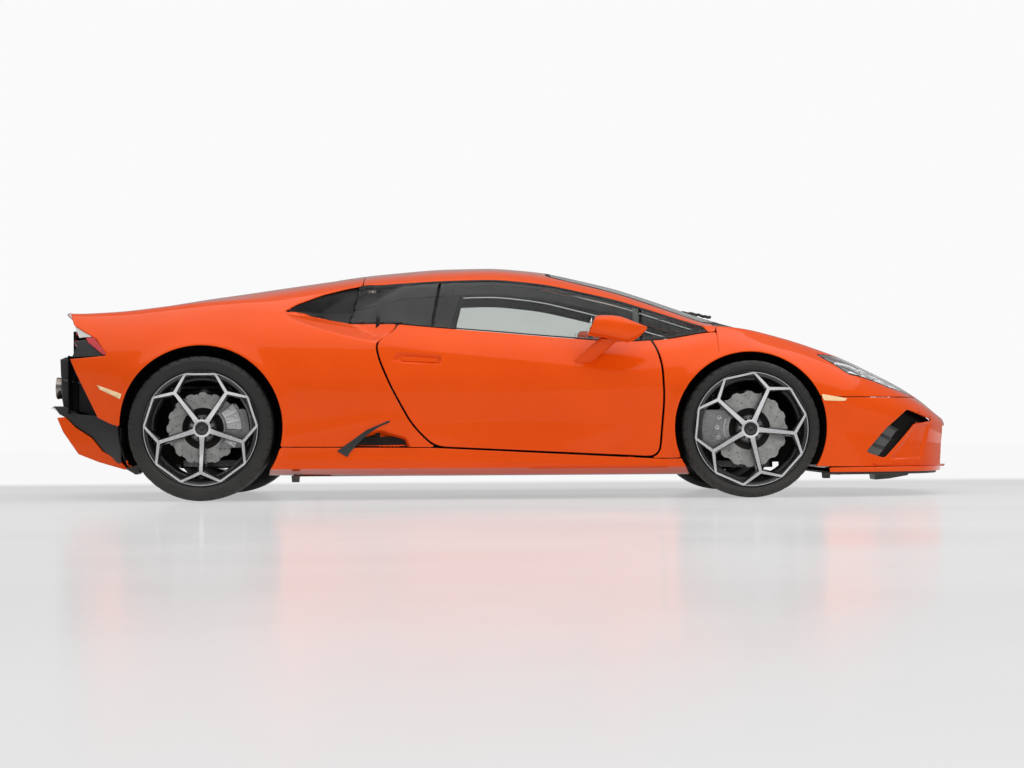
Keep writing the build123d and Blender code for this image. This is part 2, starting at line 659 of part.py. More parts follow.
def make_tub():
    """Floor, sills, bulkheads, luggage well, rails and the plates that carry the suspension."""
    front_x, rear_x, cabin_rear = XF - 398, XR + 430, XR + 850
    floor_top = FLOOR_Z + FLOOR_THICK
    plates = [
        box(rear_x, front_x, -HALF, HALF, floor_top, SILL_TOP), box(cabin_rear - BULKHEAD, cabin_rear, -HALF, HALF, 0, 1400),
        box(front_x - BULKHEAD, front_x, -PILLAR_Y, PILLAR_Y, 0, SHELF_Z + SHELF_THICK),
        box(front_x - BULKHEAD, BONNET_REAR - 9, -COWL_HALF, COWL_HALF, SHELF_Z, SHELF_Z + SHELF_THICK),
        box(BONNET_REAR - 36, BONNET_REAR - 20, -COWL_HALF, COWL_HALF, SHELF_Z, 1400),
        box(TAIL_X, TAIL_X + 20, -700, 700, FASCIA_LOW, 820), box(XR + 700, XR + 740, -520, 520, 900, 1400),
    ]
    with BuildPart() as tub:
        for plate in plates:
            add(plate)
        add(box(rear_x - 1, front_x + 1, -700, 700, floor_top, SILL_TOP + 1), mode=Mode.SUBTRACT)
        add(box(cabin_rear - BULKHEAD, cabin_rear, -820, 820, floor_top, SILL_TOP))
        add(FRAME_OUTER, mode=Mode.INTERSECT)
        add(box(rear_x, front_x, -FLOOR_HALF, FLOOR_HALF, FLOOR_Z, floor_top))
        add(box(XR + 700, cabin_rear, -500, 500, 900, 940))
        for side in (1, -1):
            add(box(front_x - BULKHEAD, XF + 770, side * RAIL_IN_FRONT, side * RAIL_OUT_FRONT, 180, 280))
            add(box(XR - 400, cabin_rear, side * RAIL_IN_REAR, side * RAIL_OUT_REAR, 180, 290))
            add(box(XR - 400, XR - 340, side * RAIL_IN_REAR, side * RAIL_OUT_REAR, 180, FASCIA_LOW + 80))
            add(box(TAIL_X, XR - 340, side * RAIL_IN_REAR, side * RAIL_OUT_REAR, FASCIA_LOW + 20, FASCIA_LOW + 80))
            add(box(XF - 150, XF + 150, side * (RAIL_OUT_FRONT - 25), side * RAIL_OUT_FRONT, FLOOR_Z + 26, 520))
            add(box(XR - 150, XR + 150, side * (RAIL_OUT_REAR - 25), side * RAIL_OUT_REAR, FLOOR_Z + 38, 540))
            add(box(front_x - 112, front_x, side * 600, side * PILLAR_Y, floor_top, SHELF_Z))
        add(box(XF + 740, XF + 770, -520, 520, 180, 280))
        for door_room in (DOOR_ROOM, right_of(DOOR_ROOM)):
            add(door_room, mode=Mode.SUBTRACT)
        for x, wheel_radius, radius, inner_y in AXLES:
            for side in (1, -1):
                y0, y1 = sorted((side * (inner_y - LINER_WALL - SEAM), side * 1200))
                add(cylinder_y(x, wheel_radius + ARCH_LIFT, radius + SEAM, y0, y1), mode=Mode.SUBTRACT)
        add(cylinder_y(XR, TYRE_RADIUS_REAR, SHAFT_RADIUS + SHUT, -HALF, HALF), mode=Mode.SUBTRACT)
    with BuildPart() as well:
        add(envelope(PANEL + BUFFER))
        add(box(WELL_X0, WELL_X1, -WELL_Y, WELL_Y, WELL_Z, 900), mode=Mode.INTERSECT)
        inner_y = WELL_Y - WELL_WALL
        hollow = box(WELL_X0 + WELL_WALL, WELL_X1 - WELL_WALL, -inner_y, inner_y, WELL_Z + WELL_WALL, 900)
        add(hollow, mode=Mode.SUBTRACT)
    sweep = cylinder_y(BONNET_HINGE_X, BONNET_HINGE_Z, BONNET_SWEEP, -COWL_HALF, COWL_HALF)
    with BuildPart() as frame:
        add(tub)
        add(well)
        with BuildPart(mode=Mode.SUBTRACT):
            add(sweep)
            add(box(BONNET_REAR - 12, XF + 200, -COWL_HALF, COWL_HALF, 600, 900), mode=Mode.INTERSECT)
        for y in LID_HINGE_Y:
            ear_low, ear_high = y - EAR_WIDTH / 2, y + EAR_WIDTH / 2
            add(box(BONNET_REAR - 30, BONNET_HINGE_X + EAR_RADIUS, ear_low, ear_high, 690, 750))
            add(box(COVER_HINGE_X - EAR_RADIUS, XR + 720, ear_low, ear_high, 905, 1000))
        add(make_lid_ears(BONNET_HINGE_X, BONNET_HINGE_Z, 700))
        add(make_lid_ears(COVER_HINGE_X, COVER_HINGE_Z, 905))
        for side in (1, -1):
            for z in HINGE_HEIGHTS:
                add(box(HINGE_X - 8, HINGE_X + 8, side * (PILLAR_Y - 10), side * HINGE_Y, z - 8, z + 8))
                add(cylinder_z(HINGE_X, side * HINGE_Y, HINGE_PIN, z - 32, z + 32))
    return frame.part


DOOR_ROOM = make_door_room()
AXLES = [
    (XF, TYRE_RADIUS_FRONT, LINER_FRONT, LINER_Y_FRONT),
    (XR, TYRE_RADIUS_REAR, LINER_REAR, LINER_Y_REAR),
]
save(make_tub(), "chassis_tub")

# ---- Suspension ----
def wishbones(x, wheel_y, wheel_z, plate_y):
    """A left pair of A-shaped arms from the frame's plate to the kingpin."""
    pin_y = wheel_y - KINGPIN_INSET
    with BuildPart() as arms:
        for z in (wheel_z - ARM_HEIGHT, wheel_z + ARM_HEIGHT):
            outer = [(x - 22, pin_y), (x + 22, pin_y), (x + 135, plate_y + FACE_GAP), (x - 135, plate_y + FACE_GAP)]
            inner = [(x - 4, pin_y - 75), (x + 4, pin_y - 75), (x + 90, plate_y + 12), (x - 90, plate_y + 12)]
            add(plan_prism(outer, z - ARM_THICK / 2, z + ARM_THICK / 2))
            add(plan_prism(inner, z - ARM_THICK, z + ARM_THICK), mode=Mode.SUBTRACT)
            add(cylinder_z(x, pin_y, EYE_RADIUS, z - ARM_THICK / 2, z + ARM_THICK / 2))
            add(cylinder_z(x, pin_y, KINGPIN_RADIUS + PIN_PLAY, z - ARM_THICK, z + ARM_THICK), mode=Mode.SUBTRACT)
    return arms.part


def make_upright(x, wheel_y, wheel_z, disc_radius, caliper_side, hollow):
    """Left upright: plate, spindle, pins for the arms' eyes and a caliper round the brake disc."""
    pin_y = wheel_y - KINGPIN_INSET
    half_height = ARM_HEIGHT - ARM_THICK / 2 - SHUT
    disc_in, disc_out = wheel_y - DISC_INNER, wheel_y - DISC_INNER + DISC_WIDTH
    with BuildPart() as caliper:
        add(cylinder_y(x, wheel_z, disc_radius + 48, disc_in - DISC_GAP - 16, disc_out + DISC_GAP + 16))
        add(cylinder_y(x, wheel_z, disc_radius + DISC_GAP + 4, disc_in - DISC_GAP, disc_out + DISC_GAP), mode=Mode.SUBTRACT)
        add(cylinder_y(x, wheel_z, disc_radius - 55, disc_in - 60, disc_out + 60), mode=Mode.SUBTRACT)
        x0, x1 = sorted((x + caliper_side * 60, x + caliper_side * 300))
        add(box(x0, x1, 0, HALF, wheel_z - 92, wheel_z + 92), mode=Mode.INTERSECT)
    with BuildPart() as upright:
        add(box(x - 42, x + 42, pin_y - 18, pin_y + 18, wheel_z - half_height, wheel_z + half_height))
        add(cylinder_y(x, wheel_z, SPINDLE_RADIUS, pin_y, wheel_y + SPINDLE_REACH))
        x0, x1 = sorted((x + caliper_side * 10, x + caliper_side * (disc_radius - 20)))
        add(box(x0, x1, disc_in - DISC_GAP - 32, disc_in - DISC_GAP - 12, wheel_z - 60, wheel_z + 60))
        for up in (1, -1):
            z0, z1 = sorted((wheel_z + up * half_height, wheel_z + up * (ARM_HEIGHT + ARM_THICK / 2 + 4)))
            add(cylinder_z(x, pin_y, KINGPIN_RADIUS, z0, z1))
        add(caliper)
        if hollow:
            add(cylinder_y(x, wheel_z, SHAFT_RADIUS + SHUT, pin_y - 30, wheel_y + SPINDLE_REACH + 1), mode=Mode.SUBTRACT)
    return upright.part


front_arms = wishbones(XF, TRACK_FRONT / 2, TYRE_RADIUS_FRONT, RAIL_OUT_FRONT)
rear_arms = wishbones(XR, TRACK_REAR / 2, TYRE_RADIUS_REAR, RAIL_OUT_REAR)
save(both_sides(joined(front_arms, rear_arms)), "suspension")

knuckle_left = make_upright(XF, TRACK_FRONT / 2, TYRE_RADIUS_FRONT, DISC_RADIUS_FRONT, -1, False)
save(knuckle_left, "knuckle_front_left")
save(right_of(knuckle_left), "knuckle_front_right")
upright_rear = make_upright(XR, TRACK_REAR / 2, TYRE_RADIUS_REAR, DISC_RADIUS_REAR, 1, True)
save(both_sides(upright_rear), "uprights_rear")


# ---- Wheels ----
def lathe(points, x, y, z):
    """A ring from a closed profile of (outboard, radius), turned about an axle at x, z, with its middle at y."""
    with BuildPart() as ring:
        with BuildSketch(Plane.XZ):
            with BuildLine():
                Polyline(*[(radius, -outboard) for outboard, radius in points], close=True)
            make_face()
        revolve(axis=Axis.Z)
    return Location((x, y, z), (-90, 0, 0)) * ring.part


def make_tyre(x, y, radius, width):
    """Tyre with a flat tread, bulged side walls and beads inside the rim's flanges."""
    half = width / 2
    bead = rim_half(width) - FACE_GAP
    side = [(bead, BEAD_RADIUS), (bead, RIM_RADIUS + 3), (half - 5, RIM_RADIUS + 8), (half, radius - 30), (half - 2, radius - 12), (half - 12, radius)]
    inside = [(half - 16, radius - 12), (half - 12, radius - 32), (half - 20, RIM_RADIUS + 12), (bead - 16, BEAD_RADIUS)]
    outer = side + [(-a, r) for a, r in side[::-1]]
    inner = [(-a, r) for a, r in inside[::-1]] + inside
    return lathe(outer + inner, x, y, radius)


def rim_half(width):
    """Half the width between a rim's flanges for a tyre of this width."""
    return width / 2 - 14


def make_rim(x, y, z, width, first_angle):
    """Alloy wheel: barrel with flanges, five forked spokes and a hub, open to the spindle from inside."""
    bead = rim_half(width)
    barrel = [
        (bead, BEAD_RADIUS), (bead, RIM_RADIUS), (bead + 7, RIM_RADIUS), (bead + 7, BEAD_RADIUS - BARREL),
        (-bead - 7, BEAD_RADIUS - BARREL), (-bead - 7, RIM_RADIUS), (-bead, RIM_RADIUS), (-bead, BEAD_RADIUS),
    ]
    back = SPOKE_FACE - SPOKE_DEPTH
    with BuildPart() as wheel:
        add(lathe(barrel, x, y, z))
        add(cylinder_y(x, z, WHEEL_HUB_RADIUS, y + HUB_FACE, y + SPOKE_FACE))
        with BuildSketch(Plane(origin=(x, y + SPOKE_FACE, z), x_dir=(1, 0, 0), z_dir=(0, -1, 0))):
            for i in range(SPOKES):
                angle = first_angle + 360 / SPOKES * i
                start = polar(WHEEL_HUB_RADIUS - 10, angle)
                fork = polar(BRANCH_NODE, angle)
                with BuildLine():
                    Polyline(*bar_outline(start, fork, SPOKE_WIDTH), close=True)
                make_face()
                for spread in (-BRANCH_SPREAD, BRANCH_SPREAD):
                    with BuildLine():
                        Polyline(*bar_outline(polar(BRANCH_NODE - 8, angle), polar(BEAD_RADIUS - 4, angle + spread), BRANCH_WIDTH), close=True)
                    make_face()
        extrude(amount=SPOKE_DEPTH)
        add(cylinder_y(x, z, SPINDLE_RADIUS + PIN_PLAY, y, y + SPINDLE_REACH + 4), mode=Mode.SUBTRACT)
    return wheel.part


def polar(radius, degrees):
    return radius * math.cos(math.radians(degrees)), radius * math.sin(math.radians(degrees))


def bar_outline(a, b, width):
    """Corners of a straight bar of this width from a to b."""
    dx, dy = b[0] - a[0], b[1] - a[1]
    length = math.hypot(dx, dy)
    nx, ny = -dy / length * width / 2, dx / length * width / 2
    return [(a[0] + nx, a[1] + ny), (a[0] - nx, a[1] - ny), (b[0] - nx, b[1] - ny), (b[0] + nx, b[1] + ny)]


def make_disc(x, y, z, radius, shaft_end):
    """Brake disc with its hat against the wheel, and at the rear the half shaft through the spindle."""
    disc_low = y - DISC_INNER
    with BuildPart() as disc:
        add(cylinder_y(x, z, radius, disc_low, disc_low + DISC_WIDTH))
        add(cylinder_y(x, z, HUB_RADIUS, disc_low, y + HUB_FACE))
        add(cylinder_y(x, z, SPINDLE_RADIUS + PIN_PLAY, disc_low - 1, y + HUB_FACE + 1), mode=Mode.SUBTRACT)
        if shaft_end:
            add(cylinder_y(x, z, SHAFT_RADIUS, shaft_end, y + SPINDLE_REACH + 4))
    return disc.part


WHEELS = [
    ("front", XF, TRACK_FRONT / 2, TYRE_RADIUS_FRONT, TYRE_WIDTH_FRONT, DISC_RADIUS_FRONT, -6, 0),
    ("rear", XR, TRACK_REAR / 2, TYRE_RADIUS_REAR, TYRE_WIDTH_REAR, DISC_RADIUS_REAR, -90, GEARBOX_HALF + FACE_GAP),
]
for end, x, y, radius, width, disc_radius, first_angle, shaft_end in WHEELS:
    tyre = make_tyre(x, y, radius, width)
    rim = make_rim(x, y, radius, width, first_angle)
    disc = make_disc(x, y, radius, disc_radius, shaft_end)
    for piece, name in ((tyre, "tyre"), (rim, "rim"), (disc, "disc")):
        save(piece, f"{name}_{end}_left")
        save(right_of(piece), f"{name}_{end}_right")

# ---- Engine ----
with BuildPart() as engine:
    add(box(XR + 130, XR + 770, -300, 300, 300, 760))
    add(box(XR - 420, XR + 130, -GEARBOX_HALF, GEARBOX_HALF, 230, 560))
    for x in (XR + 250, XR + 650):
        add(box(x - 40, x + 40, -RAIL_IN_REAR - 20, RAIL_IN_REAR + 20, 290 + FACE_GAP, 340))
save(engine.part, "engine")

# ---- Cabin ----
floor_top = FLOOR_Z + FLOOR_THICK + FACE_GAP
seat_outline = [
    (XF - 1060, floor_top), (XF - 1060, 320), (XF - 1090, 345), (XF - 1440, 300), (XF - 1560, 560), (XF - 1640, 860),
    (XF - 1600, 960), (XF - 1700, 975), (XF - 1745, 700), (XF - 1700, 400), (XF - 1660, floor_top),
]
with BuildPart() as seats:
    for side in (1, -1):
        add(side_prism(seat_outline, *sorted((side * (SEAT_Y - 235), side * (SEAT_Y + 235)))))
save(seats.part, "seats")

with BuildPart() as dashboard:
    front = XF - 398 - BULKHEAD - FACE_GAP
    add(box(front - 210, front, -590, 590, 540, 790))
    add(box(front - 210, front - 95, -760, 760, 540, 770))
    add(box(front - 640, front - 100, -95, 95, floor_top, 420))
    add(box(front - 240, front, -140, 140, floor_top, 560))
    add(envelope(PANEL + SHUT), mode=Mode.INTERSECT)
    for door_room in (DOOR_ROOM, right_of(DOOR_ROOM)):
        add(door_room, mode=Mode.SUBTRACT)
save(dashboard.part, "dashboard")

column_plane = Plane(origin=(XF - 770, SEAT_Y, 655), x_dir=(0, 1, 0), z_dir=(-math.cos(math.radians(WHEEL_TILT)), 0, math.sin(math.radians(WHEEL_TILT))))
with BuildPart() as steering_wheel:
    with BuildSketch(column_plane):
        Circle(185)
        Circle(158, mode=Mode.SUBTRACT)
        Circle(62)
        with Locations((-110, 0), (110, 0)):
            Rectangle(120, 34)
        with Locations((0, -110)):
            Rectangle(34, 120)
    extrude(amount=26)
    with BuildSketch(column_plane):
        Circle(34)
    extrude(amount=-190)
    add(dashboard.part, mode=Mode.SUBTRACT)
save(steering_wheel.part, "steering_wheel")
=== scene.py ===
# %% [markdown]
# A low, mid-engined coupe in orange paint. The imported CAD model gives every size and every joint; the pieces made
# here give it its skin. First the frame is loaded. Nothing may grow past it.

# %% Load the frame
import math
from contextlib import contextmanager

import bmesh
import bpy
import numpy as np
from mathutils import Matrix, Vector


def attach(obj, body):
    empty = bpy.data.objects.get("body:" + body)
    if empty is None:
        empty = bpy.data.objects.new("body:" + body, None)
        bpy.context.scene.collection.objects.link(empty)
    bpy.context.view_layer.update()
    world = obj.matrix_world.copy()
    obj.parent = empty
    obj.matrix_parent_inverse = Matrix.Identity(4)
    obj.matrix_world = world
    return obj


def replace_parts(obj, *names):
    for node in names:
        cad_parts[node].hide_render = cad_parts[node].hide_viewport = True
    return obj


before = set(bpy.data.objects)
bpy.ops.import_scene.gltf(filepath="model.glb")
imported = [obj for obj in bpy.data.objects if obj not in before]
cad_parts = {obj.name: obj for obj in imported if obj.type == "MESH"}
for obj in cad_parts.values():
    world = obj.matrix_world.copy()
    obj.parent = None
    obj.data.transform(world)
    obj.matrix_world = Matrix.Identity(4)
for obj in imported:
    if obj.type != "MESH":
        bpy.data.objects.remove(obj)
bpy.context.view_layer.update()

# %% [markdown]
# The car's main sizes, in metres: the axles along the car, the half width over the body, and the wheels.

# %% Sizes of the car
XF, XR = 1.210, -1.410
HALF = 0.9665
WHEELS = {
    "front": dict(x=XF, y=0.834, radius=0.3275, width=0.245, arch=0.362, turn=-6, disc=0.182),
    "rear": dict(x=XR, y=0.810, radius=0.3455, width=0.305, arch=0.388, turn=-90, disc=0.174),
}
ARCH_LIFT = 0.008
LEFT_AND_RIGHT = (("left", 1), ("right", -1))
BOTH = (1, -1)
ONCE = (1,)
print("wheelbase:", round(XF - XR, 3), "m")

# %% [markdown]
# Helpers. A surface is worked out as whole arrays and handed to Blender in one go. A panel is cut from a bigger
# surface by a field that is positive where the panel is: each triangle that the zero line crosses is split there,
# so the edge runs smoothly however coarse the grid is.

# %% Mesh helpers
def make_mesh(name, points, faces, material, body="car", smooth=True, sharp=35):
    """A mesh piece from an array of points and an array of faces, riding on a body."""
    mesh = bpy.data.meshes.new(name)
    mesh.from_pydata(np.asarray(points, float)[:, :3].tolist(), [], [list(map(int, f)) for f in faces])
    mesh.update()
    piece = bpy.data.objects.new(name, mesh)
    bpy.context.scene.collection.objects.link(piece)
    for one in material if isinstance(material, (list, tuple)) else [material]:
        mesh.materials.append(one)
    mesh.polygons.foreach_set("use_smooth", [smooth] * len(mesh.polygons))
    if smooth and sharp:
        mesh.set_sharp_from_angle(angle=math.radians(sharp))
    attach(piece, body)
    return piece


def shade_smooth(piece, sharp):
    """Shades a piece smooth, apart from the edges where it turns by more than this many degrees."""
    piece.data.polygons.foreach_set("use_smooth", [True] * len(piece.data.polygons))
    piece.data.set_sharp_from_angle(angle=math.radians(sharp))


def grid_faces(rows, columns, close_rows=False, close_columns=False):
    """Quads of a rows by columns grid of points, with either direction closed into a ring."""
    r = np.arange(rows if close_rows else rows - 1)
    c = np.arange(columns if close_columns else columns - 1)
    i, j = [a.ravel() for a in np.meshgrid(r, c, indexing="ij")]
    i2, j2 = (i + 1) % rows, (j + 1) % columns
    return np.stack([i * columns + j, i2 * columns + j, i2 * columns + j2, i * columns + j2], 1)


def triangles(quads):
    """Two triangles for each quad."""
    return np.concatenate([quads[:, [0, 1, 2]], quads[:, [0, 2, 3]]])


def cut(points, tris, field):
    """Splits every triangle on the field's zero line. Gives the points, the triangles on the positive side and those on
    the negative side. Every column of a new point lies in a straight line between the ends of the edge it is on."""
    inside = field[tris] > 0
    count = inside.sum(1)
    turned = []
    for number, lone in ((1, inside), (2, ~inside)):
        chosen = tris[count == number]
        first = lone[count == number].argmax(1)
        turned.append(np.take_along_axis(chosen, (first[:, None] + np.arange(3)) % 3, 1))
    one, two = turned
    edges = np.concatenate([one[:, [0, 1]], one[:, [0, 2]], two[:, [0, 1]], two[:, [0, 2]]])
    unique, where = np.unique(np.sort(edges, 1), axis=0, return_inverse=True)
    where = where.ravel() + len(points)
    a, b = unique[:, 0], unique[:, 1]
    t = (field[a] / (field[a] - field[b]))[:, None]
    everything = np.concatenate([points, points[a] + (points[b] - points[a]) * t])
    n, m = len(one), len(two)
    p, q, r, s = where[:n], where[n:2 * n], where[2 * n:2 * n + m], where[2 * n + m:]

    def corner(lone, first, second):
        """The triangle that holds the lone corner."""
        return np.stack([lone[:, 0], first, second], 1)

    def rest(lone, first, second):
        """The two triangles on the other side of the line."""
        return np.concatenate([np.stack([first, lone[:, 1], lone[:, 2]], 1), np.stack([first, lone[:, 2], second], 1)])

    positive = np.concatenate([tris[count == 3], corner(one, p, q), rest(two, r, s)])
    negative = np.concatenate([tris[count == 0], corner(two, r, s), rest(one, p, q)])
    return everything, positive, negative


def compact(points, tris):
    """Only the points that some triangle uses."""
    used, back = np.unique(tris, return_inverse=True)
    return points[used], back.reshape(tris.shape)


def clip(points, tris, field):
    """The part of a triangle mesh where the field is positive."""
    points, positive, _ = cut(points, tris, field)
    return compact(points, positive)


def split(points, tris, level):
    """The same mesh with an edge all along the line where the last column has this value."""
    points, positive, negative = cut(points, tris, points[:, -1] - level)
    return compact(points, np.concatenate([positive, negative]))


def sunk(points, tris, field, depth, width, straight=False):
    """Moves the mesh in along its normals, by depth where the field is over width, with a smooth wall between 0 and
    width, or a straight ramp. Columns 3 to 5 of the points are the normals."""
    points = np.column_stack([points, field(points)])
    for step in ((0.02, 1) if straight else (0, .25, .5, .75, 1)):
        points, tris = split(points, tris, step * width)
    t = np.clip(points[:, -1] / width, 0, 1)
    rise = t if straight else t * t * (3 - 2 * t)
    points[:, :3] -= points[:, 3:6] * (depth * rise)[:, None]
    return points[:, :-1], tris


def distance_inside(a, b, outline):
    """Distance of the points (a, b) to a closed outline, positive inside: the nearest edge gives the distance, and the
    number of edges that a line to the right crosses gives the sign."""
    outline = np.asarray(outline, float)
    best = np.full(a.shape, 1e9)
    crossings = np.zeros(a.shape, bool)
    for (x0, y0), (x1, y1) in zip(outline, np.roll(outline, -1, 0)):
        dx, dy = x1 - x0, y1 - y0
        t = np.clip(((a - x0) * dx + (b - y0) * dy) / (dx * dx + dy * dy + 1e-18), 0, 1)
        best = np.minimum(best, np.hypot(a - x0 - t * dx, b - y0 - t * dy))
        if y0 != y1:
            crossings ^= ((y0 > b) != (y1 > b)) & (a < (x1 - x0) * (b - y0) / (y1 - y0) + x0)
    return np.where(crossings, best, -best)


def rounded(outline, radius, steps=6):
    """The outline with each corner swapped for a parabola that starts radius away from it, or half an edge if less."""
    outline = np.asarray(outline, float)
    before, after = np.roll(outline, 1, 0) - outline, np.roll(outline, -1, 0) - outline
    reach = np.minimum(radius, np.minimum(np.hypot(*before.T), np.hypot(*after.T)) / 2)[:, None]
    start = outline + before / np.hypot(*before.T)[:, None] * reach
    end = outline + after / np.hypot(*after.T)[:, None] * reach
    t = np.linspace(0, 1, steps)[None, :, None]
    curve = start[:, None] * (1 - t) ** 2 + outline[:, None] * 2 * t * (1 - t) + end[:, None] * t ** 2
    return curve.reshape(-1, 2)


def side(outline):
    """A field over points: the distance inside an outline drawn in the side view."""
    return lambda points: distance_inside(points[:, 0], points[:, 2], outline)


def plan(outline):
    """A field over points: the distance inside an outline drawn in the view from above."""
    return lambda points: distance_inside(points[:, 0], points[:, 1], outline)


def face_on(outline):
    """A field over points: the distance inside an outline drawn in the view from the front."""
    return lambda points: distance_inside(points[:, 1], points[:, 2], outline)


def within(*fields):
    """Where all the fields are positive."""
    return lambda points: np.minimum.reduce([field(points) for field in fields])


def outside(*fields):
    """Where none of the fields is positive."""
    return lambda points: -np.maximum.reduce([field(points) for field in fields])


def grown(field, amount):
    """The same outline moved outwards by amount."""
    return lambda points: field(points) + amount


@contextmanager
def editing(piece):
    """The piece's mesh as a bmesh, which is written back when the block ends."""
    work = bmesh.new()
    work.from_mesh(piece.data)
    yield work
    work.to_mesh(piece.data)
    work.free()
    piece.data.update()


def clean(piece, distance):
    """Merges points that lie together and drops flat slivers."""
    with editing(piece) as work:
        bmesh.ops.remove_doubles(work, verts=work.verts, dist=distance)
        bmesh.ops.dissolve_degenerate(work, edges=work.edges, dist=distance / 2)


def outward(piece):
    """Turns every face of a closed piece outwards."""
    with editing(piece) as work:
        bmesh.ops.recalc_face_normals(work, faces=work.faces)
    return piece


def joined_flats(piece, degrees=0.8):
    """Joins the triangles of a flat-shaded piece that lie in one plane, within this angle, into fewer, larger ones."""
    with editing(piece) as work:
        bmesh.ops.dissolve_limit(work, angle_limit=math.radians(degrees), verts=work.verts, edges=work.edges)
        bmesh.ops.triangulate(work, faces=work.faces)
    return piece


def thicken(piece, thickness, offset=-1.0):
    """Gives a sheet its wall."""
    wall = piece.modifiers.new("Wall", "SOLIDIFY")
    wall.thickness, wall.offset, wall.use_even_offset = thickness, offset, False
    return piece


def soften(piece, width, segments=2):
    """Gives the sharp edges of a piece a small round."""
    edge = piece.modifiers.new("Edge", "BEVEL")
    edge.width, edge.segments, edge.limit_method, edge.angle_limit = width, segments, "ANGLE", math.radians(35)
    return piece


def merged(parts):
    """Several (points, faces) as one."""
    points, faces, base = [], [], 0
    for p, f in parts:
        points.append(np.asarray(p, float)[:, :3])
        faces += [tuple(int(v) + base for v in face) for face in f]
        base += len(p)
    return np.concatenate(points), faces


def on_sides(points, faces, sides):
    """The mesh on each of these sides, 1 for left and -1 for right. A mirrored half's faces are turned round, so that
    they still point outwards."""
    return merged([(points * [1, sign, 1], faces if sign > 0 else [f[::-1] for f in faces]) for sign in sides])


print("helpers ready")

# %% [markdown]
# The body is one smooth surface before it is cut into panels. Lines run along the car: floor edge, skirt, lower door,
# waist, shoulder, belt, rail, crown and centre. Each line goes through a few measured stations and is then smoothed,
# so that it has no corners. Across the car a cubic runs through all nine lines, with a crease where the metal has one.

# %% The lines of the body
# x, then y and z of floor edge, skirt, waist, belt and rail, each y as the distance inside the half width; last, the
# centreline's z.
STATIONS = np.array([
    (XR - 0.780, .366, .330, .256, .400, .166, .640, .236, .880, .400, .922, .938),
    (XR - 0.640, .316, .230, .176, .290, .086, .640, .190, .868, .396, .896, .906),
    (XR - 0.390, .266, .130, .066, .180, .021, .645, .166, .875, .391, .917, .932),
    (XR, .266, .120, .026, .150, .000, .640, .166, .908, .406, .975, 1.003),
    (XR + 0.380, .166, .118, .026, .150, .016, .610, .186, .905, .376, 1.010, 1.062),
    (XR + 0.770, .146, .114, .031, .150, .028, .600, .166, .862, .401, 1.053, 1.121),
    (XR + 1.110, .141, .112, .036, .150, .034, .600, .154, .828, .426, 1.076, 1.152),
    (XF - 1.210, .141, .112, .038, .150, .038, .600, .148, .803, .436, 1.084, 1.157),
    (XF - 0.960, .141, .112, .041, .150, .041, .598, .148, .780, .411, 1.056, 1.133),
    (XF - 0.610, .141, .112, .044, .150, .041, .590, .156, .752, .341, .972, 1.049),
    (XF - 0.380, .146, .112, .041, .150, .031, .590, .166, .766, .301, .895, .971),
    (XF - 0.170, .166, .112, .031, .150, .016, .600, .181, .806, .254, .824, .893),
    (XF, .186, .112, .021, .150, .009, .610, .171, .790, .326, .812, .838),
    (XF + 0.240, .206, .112, .031, .150, .024, .570, .181, .728, .366, .748, .768),
    (XF + 0.490, .226, .112, .071, .145, .071, .500, .221, .640, .446, .668, .682),
    (XF + 0.740, .326, .114, .166, .140, .176, .420, .326, .520, .536, .560, .580),
    (XF + 0.910, .446, .116, .306, .138, .316, .370, .466, .440, .636, .470, .485),
    (XF + 1.020, .666, .118, .546, .136, .566, .340, .666, .375, .766, .385, .390),
])
MEASURED_LINES = ["floor", "skirt", "waist", "belt", "rail"]
ALL_LINES = ["floor", "skirt", "lower", "waist", "shoulder", "belt", "rail", "crown", "centre"]


BELL_WIDTH = 0.055


def smooth_line(x, knots, values):
    """Values at x of the broken line through the knots, averaged under a bell, which rounds its corners."""
    steps = np.linspace(-2.5, 2.5, 41)
    weight = np.exp(-steps ** 2 / 2)
    where = x[:, None] + BELL_WIDTH * steps
    low, high = knots[0], knots[-1]
    inner = np.interp(np.clip(where, low, high), knots, values)
    first = (values[1] - values[0]) / (knots[1] - knots[0])
    last = (values[-1] - values[-2]) / (knots[-1] - knots[-2])
    inner = inner + np.minimum(where - low, 0) * first + np.maximum(where - high, 0) * last
    return (inner * weight).sum(1) / weight.sum()


def body_lines(x):
    """Nine lines of the left side at the stations x, as an array of (line, station, y and z)."""
    knots = STATIONS[:, 0]
    line = {}
    for k, name in enumerate(MEASURED_LINES):
        y = HALF - smooth_line(x, knots, STATIONS[:, 1 + 2 * k])
        z = smooth_line(x, knots, STATIONS[:, 2 + 2 * k])
        line[name] = np.stack([y, z], 1)
    top = smooth_line(x, knots, STATIONS[:, 11])
    line["centre"] = np.stack([top * 0, top], 1)
    line["lower"] = line["skirt"] * 0.52 + line["waist"] * 0.48
    chord = line["belt"] - line["waist"]
    normal = np.stack([chord[:, 1], -chord[:, 0]], 1)
    line["shoulder"] = line["waist"] * 0.48 + line["belt"] * 0.52 + normal * 0.10
    line["crown"] = line["rail"] * [0.5, 0.25] + line["centre"] * [0.5, 0.75]
    return np.stack([line[name] for name in ALL_LINES])


SPANS = np.array([.11, .21, .22, .14, .14, .35, .28, .27])  # usual lengths between the lines
ROWS = [5, 18, 14, 16, 16, 20, 14, 14]  # points in each span


